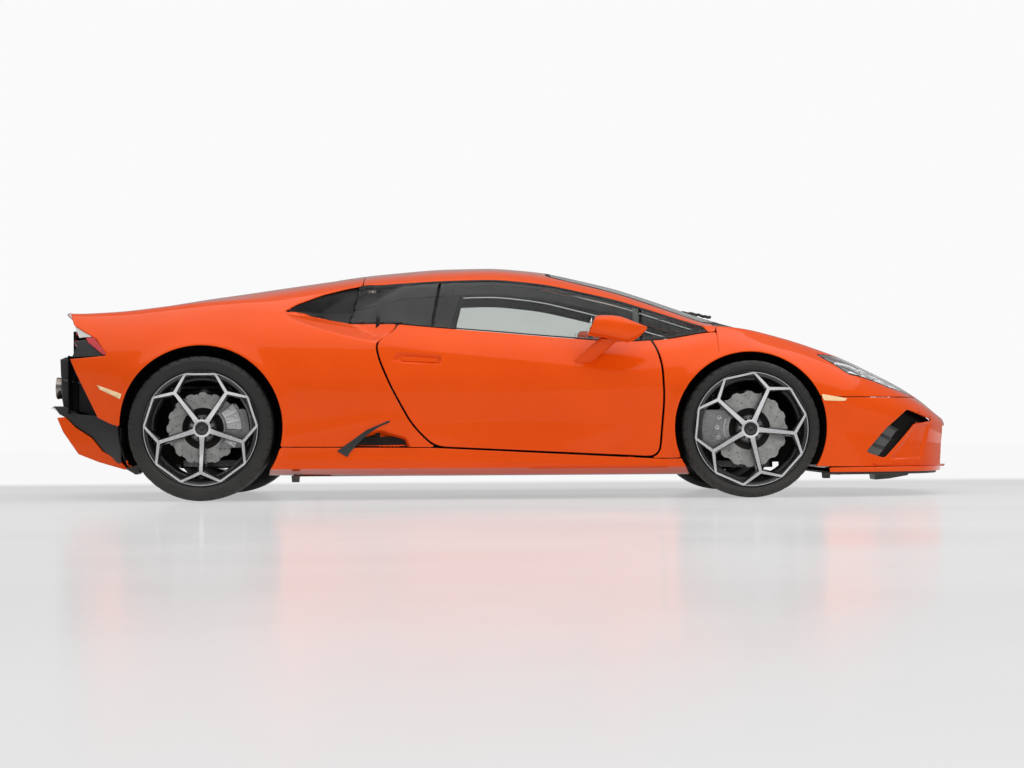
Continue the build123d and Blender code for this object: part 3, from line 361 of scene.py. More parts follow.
def section_weights(creases):
    """Weights of the nine lines at each point across: cubic spans whose slopes at a line come from both its neighbours,
    or, at a crease, from each side alone. The centreline's slope is level, because the other half mirrors it."""
    knot = np.concatenate([[0], np.cumsum(SPANS)])
    count = len(knot)
    one = np.eye(count)

    def slope(k, side):
        """Weights of the slope at line k, as seen from the span before it (-1) or after it (1)."""
        if k == 0:
            return (one[1] - one[0]) / SPANS[0]
        if k == count - 1:
            return one[0] * 0
        if k in creases:
            return (one[k] - one[k - 1]) / SPANS[k - 1] if side < 0 else (one[k + 1] - one[k]) / SPANS[k]
        a, b = SPANS[k - 1], SPANS[k]
        return ((one[k] - one[k - 1]) / a * b + (one[k + 1] - one[k]) / b * a) / (a + b)

    rows = []
    for k, points in enumerate(ROWS):
        last = k == len(ROWS) - 1
        t = np.linspace(0, 1, points + 1)[: points + last][:, None]
        h = SPANS[k]
        rows.append((2 * t ** 3 - 3 * t ** 2 + 1) * one[k] + (t ** 3 - 2 * t ** 2 + t) * h * slope(k, 1)
                    + (3 * t ** 2 - 2 * t ** 3) * one[k + 1] + (t ** 3 - t ** 2) * h * slope(k + 1, -1))
    return np.concatenate(rows)


CREASED = section_weights({1, 5})
SOFT = section_weights({1})


def ramp(value, low, high):
    """0 below low, 1 above high, and a smooth rise between."""
    t = np.clip((value - low) / (high - low), 0, 1)
    return t * t * (3 - 2 * t)


def crease_height(x):
    """Height of the crease along the door, which falls from the rear top corner to the front shut line."""
    return np.interp(x, [-0.60, -0.30, 0.30, 0.80], [.752, .706, .637, .575])


def body_surface(x):
    """The left half of the body over the stations x, as an array of (across, along, xyz). The belt is a crease beside
    the windows and fades out over both wheels; round each wheel the metal swells into a lip."""
    lines = body_lines(x)
    crease = (ramp(x, XR + 0.15, XR + 0.55) * (1 - ramp(x, XF - 0.45, XF - 0.1)))[None, :, None]
    yz = crease * np.einsum("rk,kxc->rxc", CREASED, lines) + (1 - crease) * np.einsum("rk,kxc->rxc", SOFT, lines)
    y, z = yz[..., 0], yz[..., 1]
    across = np.broadcast_to(x, y.shape)
    for wheel in WHEELS.values():
        reach = np.hypot(across - wheel["x"], z - wheel["radius"] - ARCH_LIFT) - wheel["arch"]
        y = y + 0.010 * np.exp(-(np.maximum(reach, 0) / 0.035) ** 2) * (y > 0.7)
    low_crease = np.interp(across, [-1.03, -0.80, -0.60, -0.42], [.300, .342, .379, .374])
    sill_crease = np.interp(across, [-1.03, -0.46, 0.77], [.193, .185, .160])
    for height, rise, spread, start, stop in (
            (crease_height(across), 0.0045, 0.032, (-0.62, -0.50), (0.70, 0.84)),
            (low_crease, 0.005, 0.030, (-1.05, -0.95), (-0.50, -0.38)),
            (sill_crease, 0.006, 0.012, (-1.05, -1.02), (0.80, 0.84))):
        ridge = rise * np.exp(-np.abs(z - height) / spread)
        y = y + ridge * ramp(across, *start) * (1 - ramp(across, *stop)) * (y > 0.8)
    return np.stack([across, y, z], 2)


def with_normals(grid):
    """A (rows, columns, 3) grid as rows of x, y, z and the unit normal, the cross product of its two slopes."""
    across, along = np.gradient(grid, axis=0), np.gradient(grid, axis=1)
    normal = np.cross(across, along)
    normal /= np.linalg.norm(normal, axis=2, keepdims=True) + 1e-12
    return np.concatenate([grid, normal], 2).reshape(-1, 6)


STATION_X = np.linspace(XR - 0.780, XF + 1.020, 262)
BODY = body_surface(STATION_X)
BODY_POINTS = with_normals(BODY)
BODY_TRIS = triangles(grid_faces(*BODY.shape[:2]))
print("body surface:", BODY.shape[:2], "points on each side, sideways part of its normals",
      BODY_POINTS[:, 4].mean().round(2))

# %% [markdown]
# Materials. Three effects turn up in many of them, so each is a node group with its own sockets: a fine speckle for
# grain and metal flake, soft cloudy patches that stop a big surface from looking painted by a computer, and dust that
# lies on the low parts of the car. A group only gives out masks and normals; the shader stays in each material.

# %% Shared effects
def maths(tree, operation, first, second):
    """Output of a math node between two sockets."""
    return add_node(tree, "ShaderNodeMath", [(first, 0), (second, 1)], operation=operation).outputs["Value"]


def effect_group(name, inputs, outputs):
    """An empty shader node group with these float inputs (name, value) and these outputs (name, socket type)."""
    group = bpy.data.node_groups.new(name, "ShaderNodeTree")
    for label, value in inputs:
        group.interface.new_socket(label, in_out="INPUT", socket_type="NodeSocketFloat").default_value = value
    for label, kind in outputs:
        group.interface.new_socket(label, in_out="OUTPUT", socket_type=kind)
    return group, group.nodes.new("NodeGroupInput"), group.nodes.new("NodeGroupOutput")


def add_node(tree, kind, links=(), **values):
    """A node of this kind; values set its properties, or its inputs where the name is an input's."""
    node = tree.nodes.new(kind)
    for key, value in values.items():
        if hasattr(node, key):
            setattr(node, key, value)
        else:
            node.inputs[key.replace("_", " ")].default_value = value
    for source, target in links:
        tree.links.new(source, node.inputs[target])
    return node


def grain_group():
    """Grain: a fine noise on the piece's own coordinates, as a mask and as a bumped normal."""
    group, feed, result = effect_group(
        "grain", [("Scale", 400), ("Depth", 0.0003), ("Detail", 3)],
        [("Mask", "NodeSocketFloat"), ("Normal", "NodeSocketVector")])
    place = add_node(group, "ShaderNodeTexCoord")
    noise = add_node(group, "ShaderNodeTexNoise", [
        (place.outputs["Object"], "Vector"), (feed.outputs["Scale"], "Scale"), (feed.outputs["Detail"], "Detail")])
    bump = add_node(group, "ShaderNodeBump", [(noise.outputs["Fac"], "Height"), (feed.outputs["Depth"], "Distance")])
    group.links.new(noise.outputs["Fac"], result.inputs["Mask"])
    group.links.new(bump.outputs["Normal"], result.inputs["Normal"])
    return group


def cloud_group():
    """Clouds: slow patches between 0 and 1, for a colour or a roughness that drifts over a big surface."""
    group, feed, result = effect_group("clouds", [("Scale", 6), ("Low", 0.35), ("High", 0.65)],
                                       [("Mask", "NodeSocketFloat")])
    place = add_node(group, "ShaderNodeTexCoord")
    noise = add_node(group, "ShaderNodeTexNoise", [(place.outputs["Object"], "Vector"),
                                                   (feed.outputs["Scale"], "Scale")], Detail=4)
    span = add_node(group, "ShaderNodeMapRange", [
        (noise.outputs["Fac"], "Value"), (feed.outputs["Low"], "From Min"), (feed.outputs["High"], "From Max")])
    group.links.new(span.outputs["Result"], result.inputs["Mask"])
    return group


def dust_group():
    """Dust: 1 at the height Low and 0 at High, broken up by a noise: road dust lies on what is near the ground."""
    group, feed, result = effect_group("low_dust", [("Low", 0.08), ("High", 0.35), ("Break up", 14)],
                                       [("Mask", "NodeSocketFloat")])
    place = add_node(group, "ShaderNodeTexCoord")
    parts = add_node(group, "ShaderNodeSeparateXYZ", [(place.outputs["Object"], 0)])
    height = add_node(group, "ShaderNodeMapRange", [
        (parts.outputs["Z"], "Value"), (feed.outputs["High"], "From Min"), (feed.outputs["Low"], "From Max")])
    noise = add_node(group, "ShaderNodeTexNoise", [(place.outputs["Object"], "Vector"),
                                                   (feed.outputs["Break up"], "Scale")], Detail=6)
    both = maths(group, "MULTIPLY", height.outputs["Result"], noise.outputs["Fac"])
    group.links.new(both, result.inputs["Mask"])
    return group


def edge_group():
    """Edge wear: finds where the surface turns sharply, from its pointiness, and breaks the mask up with a noise."""
    group, feed, result = effect_group("edge_wear", [("Start", 0.52), ("End", 0.60), ("Scale", 90)],
                                       [("Mask", "NodeSocketFloat")])
    shape = add_node(group, "ShaderNodeNewGeometry")
    place = add_node(group, "ShaderNodeTexCoord")
    noise = add_node(group, "ShaderNodeTexNoise", [(place.outputs["Object"], "Vector"),
                                                   (feed.outputs["Scale"], "Scale")], Detail=4)
    span = add_node(group, "ShaderNodeMapRange", [
        (shape.outputs["Pointiness"], "Value"), (feed.outputs["Start"], "From Min"), (feed.outputs["End"], "From Max")])
    both = maths(group, "MULTIPLY", span.outputs["Result"], noise.outputs["Fac"])
    group.links.new(both, result.inputs["Mask"])
    return group


GRAIN, CLOUDS, LOW_DUST, EDGE_WEAR = grain_group(), cloud_group(), dust_group(), edge_group()
print("shared effects:", [g.name for g in (GRAIN, CLOUDS, LOW_DUST, EDGE_WEAR)])

# %% [markdown]
# Each finish is a Principled shader with its constants on its own sockets, and the groups feed only what changes over
# the surface: two near colours mixed by the clouds, a roughness that drifts, and a grain in the normal.

# %% A finish from the shared effects
def effect(tree, group, **values):
    """One use of a shared effect in a material, with its own values."""
    node = tree.nodes.new("ShaderNodeGroup")
    node.node_tree = group
    for key, value in values.items():
        node.inputs[key.replace("_", " ")].default_value = value
    return node


def mixed(tree, mask, first, second):
    """A colour that goes from the first to the second with the mask; either may be a colour or a socket."""
    node = tree.nodes.new("ShaderNodeMix")
    node.data_type = "RGBA"
    tree.links.new(mask, node.inputs["Factor"])
    for name, value in (("A", first), ("B", second)):
        socket = [s for s in node.inputs if s.name == name and s.type == "RGBA"][0]
        if hasattr(value, "is_linked"):
            tree.links.new(value, socket)
        else:
            socket.default_value = (*value, 1)
    return [s for s in node.outputs if s.type == "RGBA"][0]


def ranged(tree, mask, low, high):
    """A number that goes from low to high with the mask."""
    return add_node(tree, "ShaderNodeMapRange", [(mask, "Value")], To_Min=low, To_Max=high).outputs["Result"]


def finish_material(name, colour, second, rough=(0.4, 0.5), scale=6, grain=None, dust=None, wear=None, **constants):
    """A finish: colour drifting towards a second one, roughness between two values, and, where given, a grain
    (scale, depth), dust (colour, amount) and worn edges (colour, start, end)."""
    material = bpy.data.materials.new(name)
    material.use_nodes = True
    tree = material.node_tree
    shader = tree.nodes["Principled BSDF"]
    for key, value in constants.items():
        shader.inputs[key.replace("_", " ")].default_value = (*value, 1) if isinstance(value, tuple) else value
    clouds = effect(tree, CLOUDS, Scale=scale)
    tint = mixed(tree, clouds.outputs["Mask"], colour, second)
    roughness = ranged(tree, clouds.outputs["Mask"], *rough)
    if wear:
        edges = effect(tree, EDGE_WEAR, Start=wear[1], End=wear[2])
        tint = mixed(tree, edges.outputs["Mask"], tint, wear[0])
    if dust:
        low = effect(tree, LOW_DUST)
        amount = ranged(tree, low.outputs["Mask"], 0, dust[1])
        tint = mixed(tree, amount, tint, dust[0])
    if grain:
        fine = effect(tree, GRAIN, Scale=grain[0], Depth=grain[1])
        tree.links.new(fine.outputs["Normal"], shader.inputs["Normal"])
    tree.links.new(tint, shader.inputs["Base Color"])
    tree.links.new(roughness, shader.inputs["Roughness"])
    return material


DUST = (0.23, 0.21, 0.18)
print("dust colour:", DUST)

# %% [markdown]
# The paint is a bright orange under a clear lacquer. Real paint has a little metal flake below the lacquer and the
# faintest orange-peel ripple in it. The lacquer is the Principled's coat, so the reflections stay sharp while the
# colour below stays soft. Plastics, rubber, leather and cast metal get a grain of their own scale.

# %% The finishes
PAINT = finish_material(
    "orange_lacquer", (0.78, 0.078, 0.003), (0.74, 0.071, 0.002), (0.32, 0.38), 2.5, grain=(2600, 0.00001),
    dust=(DUST, 0.02), Metallic=0.10, Specular_IOR_Level=0.05, Coat_Weight=1.0, Coat_Roughness=0.025, Coat_IOR=1.24)
BLACK_GLOSS = finish_material(
    "gloss_black", (0.008, 0.008, 0.009), (0.012, 0.012, 0.013), (0.16, 0.24), 8, dust=(DUST, 0.06), Coat_Weight=0.6,
    Coat_Roughness=0.05)
BLACK_PLASTIC = finish_material(
    "grained_black_plastic", (0.016, 0.016, 0.017), (0.022, 0.022, 0.023), (0.46, 0.58), 7, grain=(1400, 0.00012),
    dust=(DUST, 0.25), wear=((0.05, 0.05, 0.05), 0.54, 0.62))
# Near-black with little gloss: the colour of the underbody, liners, pillar covers and disc bells, and also a painted
# shade where it fills the deep scoops, openings and exhaust bores.
SHADOW_BLACK = finish_material(
    "underbody_black_and_painted_shade", (0.006, 0.006, 0.006), (0.012, 0.011, 0.010), (0.75, 0.9), 9, grain=(700, 0.0002),
    dust=(DUST, 0.3), Specular_IOR_Level=0.15)
RUBBER = finish_material(
    "tyre_rubber", (0.010, 0.011, 0.010), (0.017, 0.017, 0.016), (0.58, 0.74), 14, grain=(900, 0.00018),
    dust=(DUST, 0.12))
SOFT_SEAL = finish_material(
    "window_seal_rubber", (0.010, 0.010, 0.010), (0.016, 0.016, 0.016), (0.35, 0.5), 14, grain=(900, 0.0001),
    Specular_IOR_Level=0.2)
ALLOY = finish_material(
    "turned_alloy", (0.74, 0.74, 0.75), (0.67, 0.67, 0.69), (0.22, 0.32), 16, grain=(500, 0.00002), Metallic=0.70,
    Coat_Weight=0.5, Coat_Roughness=0.06)
CALIPER = finish_material(
    "silver_lacquered_caliper", (0.62, 0.62, 0.62), (0.50, 0.50, 0.51), (0.30, 0.42), 18, grain=(900, 0.00006),
    wear=((0.75, 0.75, 0.75), 0.54, 0.62), Metallic=0.75, Coat_Weight=0.7, Coat_Roughness=0.08)
CAST_METAL = finish_material(
    "cast_suspension_metal", (0.20, 0.20, 0.21), (0.11, 0.11, 0.11), (0.45, 0.65), 12, grain=(600, 0.0003),
    dust=(DUST, 0.2), wear=((0.45, 0.45, 0.45), 0.54, 0.62), Metallic=0.85)
DISC_METAL = finish_material(
    "brake_disc_carbon_grey", (0.40, 0.40, 0.39), (0.31, 0.31, 0.305), (0.38, 0.55), 30, grain=(700, 0.0001),
    Metallic=0.20)
PIPE_METAL = finish_material(
    "heat_tinted_steel", (0.33, 0.31, 0.29), (0.20, 0.16, 0.13), (0.20, 0.36), 20, grain=(300, 0.00003), Metallic=1.0)
LEATHER = finish_material(
    "black_leather", (0.020, 0.019, 0.019), (0.030, 0.029, 0.028), (0.42, 0.56), 9, grain=(420, 0.0005),
    wear=((0.06, 0.06, 0.06), 0.53, 0.62))
CASING = finish_material(
    "engine_casting", (0.10, 0.10, 0.11), (0.05, 0.05, 0.05), (0.4, 0.6), 12, grain=(300, 0.0004), dust=(DUST, 0.2),
    wear=((0.35, 0.35, 0.35), 0.53, 0.62), Metallic=0.6)


def clear_material(name, tint, rough, ior=1.45):
    """Glass or a clear lens: light goes through and takes the tint, which drifts by a hair."""
    material = bpy.data.materials.new(name)
    material.use_nodes = True
    tree = material.node_tree
    shader = tree.nodes["Principled BSDF"]
    shader.inputs["Roughness"].default_value = rough
    shader.inputs["Transmission Weight"].default_value = 1.0
    shader.inputs["IOR"].default_value = ior
    clouds = effect(tree, CLOUDS, Scale=5)
    tree.links.new(mixed(tree, clouds.outputs["Mask"], tint, tuple(.985 * c for c in tint)),
                   shader.inputs["Base Color"])
    return material


GLASS = clear_material("tinted_glass", (0.69, 0.715, 0.695), 0.0, 1.22)
LENS = clear_material("clear_lens", (0.93, 0.94, 0.95), 0.01)
MIRROR_GLASS = finish_material(
    "mirror_silvering", (0.80, 0.82, 0.82), (0.76, 0.78, 0.79), (0.02, 0.04), 5, grain=(60, 0.000002), Metallic=1.0)
MARKER = finish_material(
    "cream_marker_lens", (0.92, 0.66, 0.36), (0.88, 0.60, 0.30), (0.15, 0.22), 20, grain=(800, 0.00005),
    Coat_Weight=0.8, Coat_Roughness=0.03)
GREY_PLASTIC = finish_material(
    "satin_grey_plastic", (0.075, 0.080, 0.078), (0.060, 0.064, 0.062), (0.34, 0.42), 12, grain=(1200, 0.00008),
    dust=(DUST, 0.15))
LIGHT_GUIDE = finish_material(
    "white_light_guide", (0.86, 0.88, 0.90), (0.80, 0.82, 0.85), (0.20, 0.28), 14, grain=(900, 0.00003),
    Emission_Color=(1.0, 1.0, 1.0), Emission_Strength=0.25)
SCREEN = finish_material(
    "dark_display_glass", (0.004, 0.004, 0.005), (0.008, 0.008, 0.010), (0.04, 0.08), 10, grain=(200, 0.000005),
    Coat_Weight=1.0, Coat_Roughness=0.02)
SUEDE = finish_material(
    "brushed_black_suede", (0.018, 0.017, 0.017), (0.032, 0.031, 0.030), (0.80, 0.92), 16, grain=(700, 0.0006),
    Specular_IOR_Level=0.1)
RED_GLOW = finish_material(
    "red_lamp_glass", (0.46, 0.006, 0.018), (0.38, 0.005, 0.012), (0.10, 0.16), 20, grain=(500, 0.00004),
    Coat_Weight=0.5, Coat_Roughness=0.02, Specular_IOR_Level=0.2, Emission_Color=(0.9, 0.02, 0.04),
    Emission_Strength=0.05)
GREY_LENS = finish_material(
    "frosted_lamp_lens", (0.52, 0.52, 0.50), (0.44, 0.44, 0.43), (0.14, 0.22), 20, grain=(300, 0.0001), Coat_Weight=1.0,
    Coat_Roughness=0.02)
print(len(bpy.data.materials), "materials made")

# %% [markdown]
# Now the seams. Each panel is named by an outline in the side view or from above, in metres from the car's middle.
# Corners are rounded with parabolas, as a press rounds them. Lines that belong to two panels are written once.

# %% Seams and openings
SEAM = 0.0016  # half the gap between fixed panels
DROP = 0.002  # the door's top edge lies this far under the belt


def line_trace(name, x0, x1, lift=0.0, count=24):
    """Points (x, z) along one of the body's lines, from x0 to x1."""
    x = np.linspace(x0, x1, count)
    return np.stack([x, body_lines(x)[ALL_LINES.index(name)][:, 1] + lift], 1)


DOOR = rounded([(XF - .440, .199), (XF - .416, .480), (XF - .425, .650), (XF - .458, .752), (XF - .60, .90),
                (XR + 1.5, 1.0), (XR + .955, .925), (XR + .935, .818), (XR + .834, .754), (XR + .850, .675),
                (XR + .912, .531), (XR + 1.006, .361), (XR + 1.110, .254)], .055)
BELT_LOW = line_trace("belt", XR + .30, XF - .150, -DROP, 40)
ABOVE_BELT = np.concatenate([BELT_LOW, [(XF - .150, 1.6), (XR + .30, 1.6)]])
door_field = within(side(DOOR), outside(side(ABOVE_BELT)))

window_low = line_trace("belt", -.440, XF - .190, -DROP + .001, 30)
window_high = line_trace("rail", XF - .215, XR + .860, -.014, 30)
WINDOW = np.concatenate([window_low, window_high, [
    (-.631, 1.044), (-.720, 1.026), (-.837, .995), (-.964, .944), (-1.030, .902), (-.985, .922), (-.919, .930),
    (-.747, .902), (-.570, .868)]])
window_field = side(rounded(WINDOW, .010))
pane_split = side([(XR + 1.078, .70), (XR + 1.160, 1.2), (XF - .512, 1.2), (XF - .512, .70)])
black_end = side([(-1.2, .8), (-.74, .8), (-.625, 1.2), (-1.2, 1.2)])
SCOOP = [(-1.034, .903), (-.99, .872), (-.92, .843), (-.843, .818), (-.699, .776), (-.572, .747), (-.50, .79),
         (-.40, .83), (-.40, 1.05), (-.90, 1.05)]
INTAKE = [(-.762, .236), (-.722, .212), (-.43, .224), (-.408, .245), (-.43, .300), (-.56, .340), (-.63, .322)]

WINDSCREEN = rounded([
    (XF - .960, .455), (XF - .610, .555), (XF - .380, .600), (XF - .190, .645), (XF - .120, .500), (XF - .075, .120),
    (XF - .075, -.120), (XF - .120, -.500), (XF - .190, -.645), (XF - .380, -.600), (XF - .610, -.555),
    (XF - .960, -.455)], .05)
BONNET = rounded([
    (XF - .020, .600), (XF + .290, .545), (XF + .590, .450), (XF + .860, .320), (XF + .860, -.320), (XF + .590, -.450),
    (XF + .290, -.545), (XF - .020, -.600)], .05)
ENGINE_COVER = rounded([
    (XR + .690, .420), (XR + .200, .430), (XR - .300, .400), (XR - .300, -.400), (XR + .200, -.430),
    (XR + .690, -.420)], .04)
LAMP = rounded([
    (XF + .330, .790), (XF + .560, .600), (XF + .800, .455), (XF + .850, .520), (XF + .700, .700),
    (XF + .480, .830)], .02)
windscreen_field = within(plan(WINDSCREEN), lambda p: p[:, 2] - .70)
bonnet_field, cover_field, lamp_field = plan(BONNET), plan(ENGINE_COVER), plan(LAMP)
lamp_fields = within(lamp_field, lambda p: p[:, 2] - .42)


def wheel_arch(wheel, radius):
    """A field over points: the distance inside the round wheel opening, cut off straight below the axle."""
    def field(points):
        """Positive inside the opening."""
        reach = np.hypot(points[:, 0] - wheel["x"], points[:, 2] - wheel["radius"] - ARCH_LIFT)
        below = np.where(points[:, 2] < wheel["radius"], np.abs(points[:, 0] - wheel["x"]), reach)
        return radius - np.minimum(reach, np.maximum(reach, below))
    return field


front_arch = wheel_arch(WHEELS["front"], WHEELS["front"]["arch"])
rear_arch = wheel_arch(WHEELS["rear"], WHEELS["rear"]["arch"])
SKIRT_TOP = [(XF + .200, .190), (XF - .431, .190), (XR + 1.110, .248), (XR + .200, .256)]
TAIL_EDGE = [(XR - .650, .905), (XR - .622, .844), (XR - .506, .776), (XR - .450, .698), (XR - .633, .683),
             (XR - .561, .527), (XR - .500, .399), (XR - .428, .365)]
BUMPER_TOP = .478
NOSE_X = XF + .868
print("door", DOOR.shape[0], "outline points; window", WINDOW.shape[0])

# %% [markdown]
# A panel is the body surface inside its outline. Its rim is rolled in over a few millimetres, so that light catches
# along every shut line, and then it gets its metal thickness. The roll is a quarter circle: at distance f from the
# edge a point sinks by r - sqrt(r^2 - (r - f)^2).

# %% Making a panel
PANEL_SHARP = 62  # degrees between two faces, from which on their edge is shaded sharp


def panel(name, field, material, node=None, body="car", thickness=0.018, roll=0.0035, sides=ONCE, gap=SEAM, details=(),
          surface=None):
    """A panel of the body: clipped to the field, with details pressed in, its rim rolled, and its thickness inwards."""
    points, tris = surface or (BODY_POINTS, BODY_TRIS)
    points, tris = clip(points, tris, field(points) - gap)
    for detail in details:
        points, tris = sunk(points, tris, *detail)
    points = np.column_stack([points, field(points) - gap])
    for level in (roll * .25, roll, roll * 2.2):
        points, tris = split(points, tris, level)
    edge = np.maximum(roll - np.maximum(points[:, -1], 0), 0)
    points[:, :3] -= points[:, 3:6] * (roll - np.sqrt(np.maximum(roll ** 2 - edge ** 2, 0)))[:, None]
    piece = make_mesh(name, *on_sides(points[:, :3], tris, sides), material, body, sharp=PANEL_SHARP)
    clean(piece, 0.0003)
    shade_smooth(piece, PANEL_SHARP)
    thicken(piece, thickness)
    if node:
        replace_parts(piece, *([node] if isinstance(node, str) else node))
    return piece


HANDLE = rounded([(XR + .905, .655), (XR + 1.145, .640), (XR + 1.150, .690), (XR + .925, .708)], .02)
door_details = [(side(HANDLE), 0.014, 0.016)]
for name, sign in LEFT_AND_RIGHT:
    panel(f"door_skin_{name}", door_field, PAINT, f"door_{name}", f"door_{name}", 0.024, gap=0.0005,
          sides=(sign,), details=door_details)
everywhere = lambda p: p[:, 0] * 0 + 1.0
scuttle_box = lambda p: np.minimum.reduce([p[:, 0] - XF + .150, XF - .02 - p[:, 0], .62 - p[:, 1], p[:, 2] - .6])
wing_field = within(
    side([(XF - .60, .190), (XF - .431, .190), (XF + .200, .190), (XF + .200, BUMPER_TOP), (NOSE_X, BUMPER_TOP),
          (NOSE_X, 1.4), (XF - .150, 1.4), (XF - .150, .70)]
         + line_trace("belt", XF - .150, XF - .60, -DROP, 12).tolist()),
    outside(door_field, front_arch, bonnet_field, lamp_fields, windscreen_field,
            scuttle_box, grown(door_field, .0065)))
panel("front_wings_skin", wing_field, PAINT, "front_wings", sides=BOTH, thickness=.008)
tail_outline = [(XR + 1.110, .248), (XR + 1.150, .30), (XR + 1.150, .95), (XR + .760, .95), (XR + .760, 1.4),
                (XR - .650, 1.4)]
tail_outline += TAIL_EDGE + [(XR - .360, .350), (XR - .360, .05), (XR + .200, .05), (XR + .200, .256)]
quarter_field = within(
    side(tail_outline), outside(grown(door_field, .0065), rear_arch, cover_field, window_field),
    outside(lambda p: np.minimum(XR - .575 - p[:, 0], .640 - p[:, 1])),
    outside(lambda p: np.minimum.reduce([XR - .20 - p[:, 0], .60 - p[:, 1], .56 - p[:, 2]])))
FUEL_FLAP = rounded([(-.878, .872), (-.860, .897), (-.742, .905), (-.752, .862)], .018)
WINDOW_MIDDLE = np.array([(-1.06, .893), (-1.030, .903), (-.985, .930), (-.919, .946), (-.747, .955), (-.440, .950)]).T
WINDOW_TOP = np.array([(-1.030, .902), (-.964, .944), (-.837, .995), (-.720, 1.026), (-.631, 1.044), (-.440, 1.06)]).T
scoop_field = within(side(SCOOP), lambda p: (-.450 - p[:, 0]) * .42,
                     lambda p: (np.interp(p[:, 0], *WINDOW_MIDDLE) - p[:, 2]) * 6)
pane_tuck = (within(side(SCOOP), lambda p: (-.450 - p[:, 0]) * .42,
                    lambda p: (np.interp(p[:, 0], *WINDOW_TOP) - p[:, 2]) * 2.5), .060, .105, True)
quarter_details = [(scoop_field, .060, .105, True), (side(rounded(INTAKE, .012)), .045, .030),
                   (lambda p: .0016 - np.abs(side(FUEL_FLAP)(p)), .0030, .0010)]
panel("rear_quarters_skin", quarter_field, PAINT, "rear_quarters", sides=BOTH, thickness=.008, details=quarter_details)
roof_field = within(
    side([(XR + .760, 1.4), (XF - .150, 1.4), (XF - .150, .70)]
         + line_trace("belt", XF - .150, XF - .190, -DROP, 4).tolist()
         + line_trace("rail", XF - .215, XR + .760, -.016, 30).tolist()),
    outside(windscreen_field, cover_field, window_field))
panel("roof_skin", roof_field, PAINT, "roof_frame", sides=BOTH, gap=0.0008)
skirt_field = within(side(SKIRT_TOP + [(XR + .200, .03), (XF + .200, .03)]),
                     outside(front_arch, rear_arch, grown(door_field, .0065)))
panel("side_skirts_skin", skirt_field, PAINT, "side_skirts", sides=BOTH)
panel("bonnet_skin", bonnet_field, PAINT, "bonnet", "bonnet", sides=BOTH)
BUMPER_INTAKE = rounded([(1.990, .418), (2.137, .366), (2.024, .347), (1.863, .185), (1.772, .214), (1.875, .325)],
                        .012)
BUMPER_BLADE = rounded([(2.030, .345), (2.122, .352), (2.062, .176), (1.885, .172)], .012)
bumper_field = within(
    side([(XF + .200, .141), (XF + .555, .141), (XF + 1.1, .141), (XF + 1.1, 1.0), (NOSE_X, 1.0), (NOSE_X, BUMPER_TOP),
          (XF + .200, BUMPER_TOP)]),
    outside(front_arch, bonnet_field, lamp_fields, face_on([(-.50, .150), (.50, .150), (.44, .335), (-.44, .335)]),
            side(BUMPER_INTAKE)))
panel("bumper_skin", bumper_field, PAINT, "bumper_front", sides=BOTH, thickness=.012,
      details=[(side(BUMPER_BLADE), .009, .012)])
DECK = rounded([(-.780, .300), (-1.620, .270), (-1.620, -.270), (-.780, -.300)], .03)
deck_dip = (plan(DECK), .022, .02)
panel("cowl_strip", within(scuttle_box,
                                  outside(windscreen_field, bonnet_field)), BLACK_PLASTIC, "cowl", sides=BOTH)
print("painted panels made")

# %% Glass
for name, sign in LEFT_AND_RIGHT:
    panel(f"door_pane_{name}", within(window_field, pane_split), GLASS, f"door_glass_{name}", f"door_{name}", 0.0045,
          0.001, (sign,), 0.004)
panel("fixed_side_panes", within(window_field, outside(pane_split, black_end)), GLASS, "quarter_glass", "car", 0.0045,
      0.001, BOTH, 0.004, [pane_tuck])
panel("quarter_blanks", within(grown(window_field, .03), black_end, grown(side(WINDOW), .012)), SOFT_SEAL, None, "car",
      .004, .001, BOTH, .0, [(everywhere, .010, .02), pane_tuck])
panel("windscreen_pane", windscreen_field, GLASS, "windscreen", "car", 0.0055, 0.001, BOTH, 0.003)
panel("engine_cover_skin", cover_field, PAINT, "engine_cover", "engine_cover", sides=BOTH, thickness=.012,
      details=[deck_dip])
panel("headlamp_lenses", lamp_fields, LENS, "headlamps", "car", 0.004, 0.001, BOTH, 0.001)
print("glass made")

# %% [markdown]
# A wheel's spokes. One fifth of the wheel is laid out on a fine polar grid, and a field says how far each point is
# inside the nearest bar: a spoke that forks, two branches, the flat chords to the neighbours, and a thin arc outside
# the fork. The field alone then gives everything: where it is over half a millimetre the turned face is bright, and
# below that the black wall falls away, first gently and then steeply. Five turned copies make the wheel.

# %% The bars of one fifth of a wheel
FORK, REACH, SPREAD = 0.210, 0.2685, math.radians(20.5)
FIFTH = 2 * math.pi / 5


def bar_field(x, y, start, end, half):
    """Half width less the distance to a straight bar; half may be a pair, at its start and its end."""
    (x0, y0), (x1, y1) = start, end
    dx, dy = x1 - x0, y1 - y0
    t = np.clip(((x - x0) * dx + (y - y0) * dy) / (dx * dx + dy * dy), 0, 1)
    first, last = half if isinstance(half, tuple) else (half, half)
    return first + (last - first) * t - np.hypot(x - x0 - t * dx, y - y0 - t * dy)


def at_angle(radius, angle):
    """The point at this radius and angle."""
    return radius * math.cos(angle), radius * math.sin(angle)


